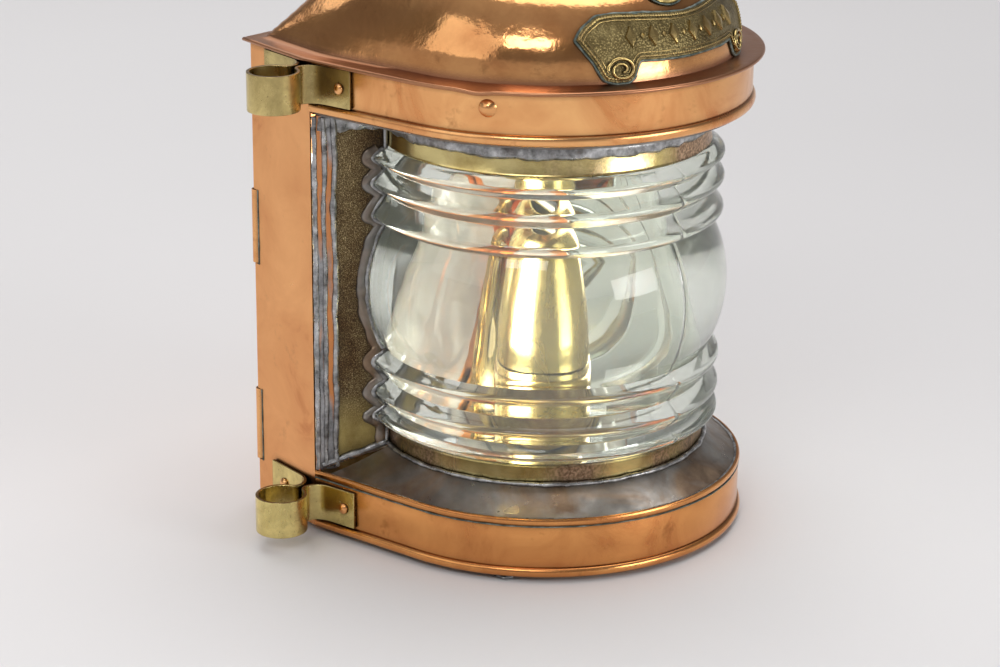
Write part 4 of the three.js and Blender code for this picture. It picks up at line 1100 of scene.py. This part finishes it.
def make_bail():
    """Bent wire handle, thicker in the grip, with its two ears."""
    pivot = joint_at("bail_swing")
    rest = math.radians(13)
    wide, reach, inner = 56, 96, 42.5
    straight = reach - wide
    half = [(inner, 0), (inner + 5, 0), (wide - 4, 0.6), (wide - 0.7, 3.5), (wide, 8), (wide, 24), (wide, straight)]
    turns = [math.pi * (i + 1) / 12 for i in range(11)]
    arch = [(wide * math.cos(a), straight + wide * math.sin(a)) for a in turns]
    plan = half + arch + [(-x, u) for x, u in reversed(half)]
    path = [(p.x, pivot.y + p.y * math.cos(rest), pivot.z - p.y * math.sin(rest)) for p in smooth_path(plan, 8)]
    grip_middle = len(path) // 2

    def thickness(i):
        return 2.15 + 0.75 * math.exp(-((i - grip_middle) / 14.0) ** 4)

    wire = tube(bmesh.new(), path, thickness, 20, up=Vector((0, math.sin(rest), math.cos(rest))))
    finished("bail_handle_wire", wire, BRASS_STRIP, ["bail_handle"], "bail", sharp=70)
    for name, side in SIDES:
        node = name + "_bail_ear"
        low, high = box_mm(node)
        outline = fillet([(low.y, low.z), (high.y, low.z), (high.y, high.z), (low.y, high.z)], 4.5, 8)
        faces = (low.x, high.x) if side > 0 else (high.x, low.x)
        plate = loft(bmesh.new(), [[(x, y, z) for y, z in outline] for x in faces])
        finished(node + "_plate", plate, BRASS_STRIP, [node], bevel=0.5)
        for k, dz in enumerate((-5.6, 5.6)):
            head = turned([(0, 1.3), (1, 1.1), (1.7, 0.4), (1.8, -0.2), (0, -0.2)], 20)
            rivet = finished(f"{node}_rivet_{k + 1}", head, COPPER, sharp=70)
            set_facing(rivet, (faces[1], pivot.y, pivot.z + dz), Vector((side, 0, 0)))


# ---------------------------------------------------------------- rod sleeves

SLEEVE_BORE = 11.3  # its radius
SLEEVE_Y = 60.5
STRIP = 1.6


def sleeve_path(centre):
    """Plan of the bent strip of the right-hand sleeve; u runs from the sleeve centre towards the body."""
    cx, cy = centre
    mean = SLEEVE_BORE + STRIP / 2
    opening = 25
    turns = [math.radians(360 - opening - (360 - 2 * opening) * i / 60) for i in range(61)]
    loop = [(mean * math.cos(a), mean * math.sin(a)) for a in turns]
    front = [
        (24.7, -27), (24.2, -19), (23.7, -11), (22.7, -7), (20.4, -3.8), (17.2, -2.1), (14.4, -2), (12.4, -3.1),
        loop[0],
    ]
    rear = [loop[-1], (12.4, 3.1), (14.4, 2), (17.2, 2.1), (21, 4.2), (23.7, 7.5), (25.2, 11), (27.6, 23), (29.9, 36)]
    points = [tuple(p) for p in smooth_path(front, 6)][:-1] + loop + [tuple(p) for p in smooth_path(rear, 6)][1:]
    return [(cx - u, cy + v) for u, v in points]


def make_sleeves():
    for level, metal in (("lower", BRASS_STRIP), ("upper", BRASS_STRIP_UPPER)):
        for name, side in SIDES:
            node = f"{level}_{name}_sleeve"
            low, high = box_mm(node)
            outer = high.x if side > 0 else -low.x
            path = sleeve_path((outer - SLEEVE_BORE - STRIP, SLEEVE_Y))
            outline = [(side * x, y) for x, y in strip_outline(path, STRIP / 2)]
            finished(node + "_strip", extruded(outline, low.z, high.z), metal, [node], sharp=40, bevel=0.28)
            for leg in ("front", "rear"):
                make_rivet(f"{level}_{name}_{leg}_rivet", side, leg)


def make_rivet(node, side, leg):
    """A hammered copper head, a little out of round."""
    low, high = box_mm(node)
    middle = (low + high) / 2
    if leg == "front":
        out = Vector((side, 0.05, 0))
    else:
        run = Vector((side * (REAR_CORNER[0] - FRONT_CORNER[0]), REAR_CORNER[1] - FRONT_CORNER[1], 0)).normalized()
        out = Vector((side * abs(run.y), abs(run.x), 0))
    head = fillet([(0, 2.1), (1.6, 1.75), (2.75, 0.9), (2.85, 0), (0, 0)], [0, 0.8, 0.5, 0.1, 0], 4, closed=False)
    bm = turned(head + [(0, -0.2)], 28)
    for v in bm.verts:
        v.co += Vector((0, 0, 1)) * wobble(v.co / MM + middle, 2.2, 0.16) * MM
    piece = finished(node + "_head", bm, COPPER_BAND, [node], sharp=70)
    seat = middle - out * ((high - low).dot(Vector((abs(out.x), abs(out.y), 0))) / 2 - 2.0)
    set_facing(piece, seat, out)


# ---------------------------------------------------------------- door

def make_door():
    """Pressed panel with a raised line round it, and the rolled barrels on the hinge pins."""
    low, high = box_mm("door_panel")
    axis = joint_at("door_hinge")
    left, right = axis.x + 3.4, high.x
    margin, press, ridge_width = 11.0, 1.3, 1.7
    bm = bmesh.new()

    def sheet(depth):
        grid = []
        for z in spaced(low.z, high.z, 90):
            row = []
            for x in spaced(left, right, 96):
                border = min(x - left, right - x, z - low.z, high.z - z)
                ridge = press * math.exp(-((border - margin) / ridge_width) ** 2)
                row.append(bm.verts.new(place(x, depth + ridge * 0.9 + wobble((x, z, 3), 45, 0.25), z)))
            grid.append(row)
        return grid

    skinned(bm, sheet(high.y), sheet(high.y - SHEET))
    finished("door_panel_pressed", bm, COPPER_PANEL, ["door_panel"], "door", sharp=50)
    roll = 2.6
    slot_y = axis.y - 3.5
    share = (slot_y - FRONT_CORNER[1]) / (REAR_CORNER[1] - FRONT_CORNER[1])
    slot_x = -FRONT_CORNER[0] + (FRONT_CORNER[0] - REAR_CORNER[0]) * share
    turns = [math.radians(90 + 318 * i / 40) for i in range(41)]
    rolled = [(axis.x + roll * math.cos(a), axis.y + roll * math.sin(a)) for a in turns]
    leaf = strip_outline([(axis.x + 9, axis.y + roll), (axis.x + 4, axis.y + roll)] + rolled, 0.4)
    for name in ("lower", "upper"):
        pin_low, pin_high = box_mm(name + "_hinge_pin")
        bottom, top = pin_low.z + 5, pin_high.z - 5
        finished(name + "_hinge_barrel", extruded(leaf, bottom, top), COPPER_BAND, body="door", sharp=40, bevel=0.12)
        # A thin dark bead along the front edge of each hinge slot: painted shadow beside the barrel.
        edge = [(slot_x - 0.05, slot_y, bottom - 0.3 + (top - bottom + 0.6) * i / 20) for i in range(21)]
        seams(name + "_hinge_slot_painted_shadow", edge, 0.42, VERDIGRIS, up=Vector((1, 0, 0)))


def make_latch():
    low, high = box_mm("latch_knob")
    centre = (low + high) / 2
    depth = high.y - low.y
    knob = fillet(
        [(0, depth), (7, depth - 0.4), (8.3, depth - 2.4), (7.9, depth - 4.4), (4.2, depth - 6.2), (3.6, depth - 8.4),
         (5, depth - 10), (5, 0), (0, 0)],
        [0, 1, 1.2, 1, 1, 1, 0.5, 0.3, 0], 4, closed=False)
    piece = finished("latch_knob_turned", turned(knob, 72), BRASS_BRIGHT, ["latch_knob"], "latch", sharp=50)
    set_facing(piece, (centre.x, low.y, centre.z), Vector((0, 1, 0)))
    grip = bmesh.new()
    ribs = 28
    for k in range(ribs):
        x, z = around(360 * k / ribs, 8.15)
        tube(grip, [(centre.x + x, high.y - back, centre.z + z) for back in (4.4, 2.2)], 0.5, 6)
    finished("latch_knob_grip", grip, BRASS_BRIGHT, body="latch", sharp=60)


# ---------------------------------------------------------------- feet, font and burner

def make_feet():
    """Low feet of solder, uneven where they meet the floor."""
    for name in ("front_left", "front_right", "rear_left", "rear_right"):
        low, high = box_mm(name + "_foot")
        centre = (low + high) / 2
        profile = [
            (0, low.z), (2.6, low.z + 0.1), (4.6, low.z + 0.7), (5.9, low.z + 1.5), (5.6, -0.3), (3, -0.3),
            (3, high.z), (0, high.z),
        ]
        bm = turned(profile, 32, (centre.x, centre.y))
        for v in bm.verts:
            local = (v.co - ORIGIN) / MM
            if local.z < -0.5:
                away = Vector((local.x - centre.x, local.y - centre.y, 0))
                v.co += away * wobble(local, 3, 0.22) * MM
        finished(name + "_foot_solder", bm, SOLDER, [name + "_foot"], sharp=70)


def knurled(name, node, body, radius, low, high, teeth, centre=(0, 0), bore=0.0):
    """A ring or disc with fine upright teeth round its edge, in place of a CAD node."""
    depth, chamfer = 0.35, 0.6
    cx, cy = centre
    sides = teeth * 4
    rings = []
    for i in range(sides):
        x, y = around(360 * i / sides, 1)
        edge = radius - depth * (0.5 + 0.5 * math.cos(2 * math.pi * i / 4))
        profile = [(bore, low), (radius - chamfer - depth, low), (edge, low + chamfer), (edge, high - chamfer),
                   (radius - chamfer - depth, high), (bore, high)]
        rings.append([(cx + x * r, cy + y * r, z) for r, z in profile])
    return finished(name, loft(bmesh.new(), rings, closed=True), BRASS_BRIGHT, [node], body, sharp=40)


def make_font():
    low, high = box_mm("oil_font")
    radius = high.x
    top = high.z - 4
    wall = 1.2
    outline = fillet(
        [(0, low.z), (radius, low.z), (radius, top), (15.5, top), (15.5, high.z), (14, high.z), (14, top - wall),
         (radius - wall, top - wall), (radius - wall, low.z + wall), (0, low.z + wall)],
        [0, 2.5, 3, 0.8, 0.3, 0.3, 0.3, 2, 2, 0], 5, closed=False)
    finished("oil_font_spun", turned(outline, 112), BRASS, ["oil_font"], "font", sharp=50)
    for k, z in enumerate((low.z + 5, top - 5)):
        bead = turned(bead_section(radius, z, 0.7, 0.9), 112)
        finished(f"oil_font_bead_{k + 1}", bead, BRASS, body="font", sharp=80)
    cap_low, cap_high = box_mm("filler_cap")
    centre = ((cap_low.x + cap_high.x) / 2, (cap_low.y + cap_high.y) / 2)
    spout = [(5.5, top - 0.5), (7, top - 0.5), (7, top + 4), (5.5, top + 4)]
    finished("oil_font_spout", turned(spout, 48, centre), BRASS, body="font")
    knurled("filler_cap_knurled", "filler_cap", "cap", 8, cap_low.z, cap_high.z, 30, centre)
    low, high = box_mm("burner_collar")
    knurled("burner_collar_knurled", "burner_collar", "font", high.x, low.z, high.z, 60, bore=16)


def make_burner():
    low, high = box_mm("burner_drum")
    radius = high.x
    wall = fillet(
        [(12, low.z), (radius - 1, low.z), (radius, low.z + 3), (radius, high.z), (radius - 0.8, high.z),
         (radius - 0.8, low.z + 3.4), (radius - 2, low.z + 1), (12, low.z + 1)], 0.5, 3)
    finished("burner_drum_spun", turned(wall, 96), BRASS_BRIGHT, ["burner_drum"], "font", sharp=50)
    for k, z in enumerate((low.z + 4, high.z - 2, (low.z + high.z) / 2)):
        bead = turned(bead_section(radius, z, 0.6, 0.8), 96)
        finished(f"burner_drum_bead_{k + 1}", bead, BRASS_BRIGHT, body="font", sharp=80)
    low, high = box_mm("burner_dome")
    outer = [(radius, low.z), (radius, low.z + 6), (20.6, low.z + 14), (15, high.z - 3), (9.6, high.z)]
    curve = [tuple(p) for p in smooth_path(outer, 8)]
    inner = [(r - 0.9, z - 0.5) for r, z in reversed(curve[1:])] + [(radius - 0.9, low.z)]
    finished("burner_dome_spun", turned(curve + inner, 96), BRASS_BRIGHT, ["burner_dome"], "font", sharp=50)
    low, high = box_mm("wick_knob")
    knob = knurled("wick_knob_knurled", "wick_knob", "wick_winder", (high.x - low.x) / 2, 0, high.y - low.y, 32)
    set_facing(knob, ((low.x + high.x) / 2, low.y, (low.z + high.z) / 2), Vector((0, 1, 0)))


# ---------------------------------------------------------------- CAD parts that keep their shape

KEPT = {
    COPPER_PANEL: ["left_side_panel", "right_side_panel", "rear_upper_panel", "rear_sill", "base_plate"],
    TIN: ["ceiling_plate", "smoke_tube", "left_font_rail", "right_font_rail"],
    BRASS: ["font_slide_plate", "wick_tube", "latch_spindle", "latch_tongue"],
    STEEL: ["lower_hinge_pin", "upper_hinge_pin", "wick_spindle"],
    COTTON: ["wick"],
    LEATHER: ["filler_seal"],
}


def dress_kept_parts():
    for material, names in KEPT.items():
        for name in names:
            frame["nodes"][name].material_slots[0].material = material


# ---------------------------------------------------------------- stage, light and camera

def make_floor():
    n = Nodes("floor_paper")
    tint = n.ramp(n.noise(1.2, 3, 0.5), (0.3, (0.735, 0.72, 0.72)), (0.7, (0.765, 0.75, 0.75)))
    n.done(tint, None, None, Roughness=0.55, Specular_IOR_Level=0.3)
    bm = bmesh.new()
    bmesh.ops.create_circle(bm, cap_ends=True, segments=96, radius=7.0, matrix=Matrix.Translation((0, 0, FLOOR_Z)))
    mesh = bpy.data.meshes.new("floor")
    bm.to_mesh(mesh)
    bm.free()
    mesh.materials.append(n.material)
    floor = bpy.data.objects.new("floor", mesh)
    bpy.context.scene.collection.objects.link(floor)


def direction(azimuth, elevation):
    a, e = math.radians(azimuth), math.radians(elevation)
    return Vector((math.sin(a) * math.cos(e), -math.cos(a) * math.cos(e), math.sin(e)))


def lamp(name, kind, back, power):
    """A lamp that shines against the direction back."""
    data = bpy.data.lights.new(name, kind)
    data.energy = power
    piece = bpy.data.objects.new(name, data)
    piece.rotation_euler = (-back).to_track_quat("-Z", "Y").to_euler()
    bpy.context.scene.collection.objects.link(piece)
    return piece


def softbox(name, azimuth, elevation, distance, size, power, unseen=False, spread=180):
    """A soft rectangle of light, out of the camera's sight; an unseen one doesn't show through the glass either.

    A spread below 180 degrees keeps its light off the floor beneath it.
    """
    back = direction(azimuth, elevation)
    box = lamp(name, "AREA", back, power)
    box.data.shape = "RECTANGLE"
    box.data.size, box.data.size_y = size
    box.data.spread = math.radians(spread)
    box.location = back * distance + Vector((0, 0, 0.15))
    box.visible_camera = False
    box.visible_transmission = not unseen


def make_world():
    """A pale room with a darker belt above the horizon, so that the metal has something dark to show."""
    world = bpy.data.worlds.new("studio")
    bpy.context.scene.world = world
    world.use_nodes = True
    tree = world.node_tree
    back = tree.nodes["Background"]
    coords = tree.nodes.new("ShaderNodeTexCoord")
    split = tree.nodes.new("ShaderNodeSeparateXYZ")
    ramp = tree.nodes.new("ShaderNodeValToRGB")
    tree.links.new(coords.outputs["Generated"], split.inputs[0])
    tree.links.new(split.outputs["Z"], ramp.inputs["Fac"])
    tree.links.new(ramp.outputs["Color"], back.inputs["Color"])
    stops = ramp.color_ramp.elements
    stops[0].position, stops[0].color = 0.0, (0.95, 0.93, 0.93, 1)
    stops[1].position, stops[1].color = 1.0, (0.85, 0.85, 0.87, 1)
    for position, grey in ((0.14, 0.85), (0.3, 0.36), (0.55, 0.3), (0.75, 0.62)):
        stops.new(position).color = (grey, grey * 0.98, grey, 1)
    back.inputs["Strength"].default_value = WORLD_STRENGTH


def sun(name, azimuth, elevation, angle, power):
    """A very wide soft sun, which lights the floor evenly all over."""
    lamp(name, "SUN", direction(azimuth, elevation), power).data.angle = math.radians(angle)


WORLD_STRENGTH = 0.55
CAMERA_AZIMUTH = -50
CAMERA_DISTANCE = 1322
CAMERA_HEIGHT = 546.7
CAMERA_YAW = -0.955
CAMERA_PITCH = 19.04
CAMERA_ROLL = 0.5
CAMERA_LENS = 98.4


def make_camera():
    data = bpy.data.cameras.new("camera")
    data.lens = CAMERA_LENS
    data.sensor_width = 36
    data.clip_start, data.clip_end = 0.05, 30
    camera = bpy.data.objects.new("camera", data)
    bpy.context.scene.collection.objects.link(camera)
    x, y = around(CAMERA_AZIMUTH, CAMERA_DISTANCE)
    heading = math.radians(CAMERA_YAW - CAMERA_AZIMUTH)
    pitch = math.radians(CAMERA_PITCH)
    forward = Vector((math.sin(heading) * math.cos(pitch), math.cos(heading) * math.cos(pitch), -math.sin(pitch)))
    right = forward.cross(Vector((0, 0, 1))).normalized()
    up = right.cross(forward)
    roll = math.radians(CAMERA_ROLL)
    rolled_right = right * math.cos(roll) + up * math.sin(roll)
    rolled_up = up * math.cos(roll) - right * math.sin(roll)
    turn = Matrix((rolled_right, rolled_up, -forward)).transposed().to_4x4()
    camera.matrix_world = Matrix.Translation(place(x, y, CAMERA_HEIGHT)) @ turn
    bpy.context.scene.camera = camera


make_camera()
make_floor()
make_world()
sun("overall", 110, 73, 56, 1.5)
softbox("key_left", -105, 30, 1.9, (1.4, 1.1), 4.6)
softbox("camera_side", -62, 40, 2.1, (0.9, 0.5), 8)
softbox("low_front", 8, 11, 1.7, (0.9, 0.5), 1.2, spread=60)
softbox("rear", 165, 40, 2.2, (1.8, 1.0), 6)
# What the lens lets in: Cycles doesn't send lamp light through glass, so it starts inside
softbox("through_lens_left", -92, 0, 0.066, (0.06, 0.12), 0.54, unseen=True)
softbox("through_lens_right", 84, 0, 0.066, (0.04, 0.12), 0.16, unseen=True)
bpy.context.scene.view_settings.view_transform = "Standard"

make_bands()
make_shelf()
make_lens()
make_collars()
make_screens()
make_linings()
make_hood()
make_scroll()
make_badge()
make_chimney()
make_cap()
make_bail()
make_sleeves()
make_door()
make_latch()
make_feet()
make_font()
make_burner()
dress_kept_parts()
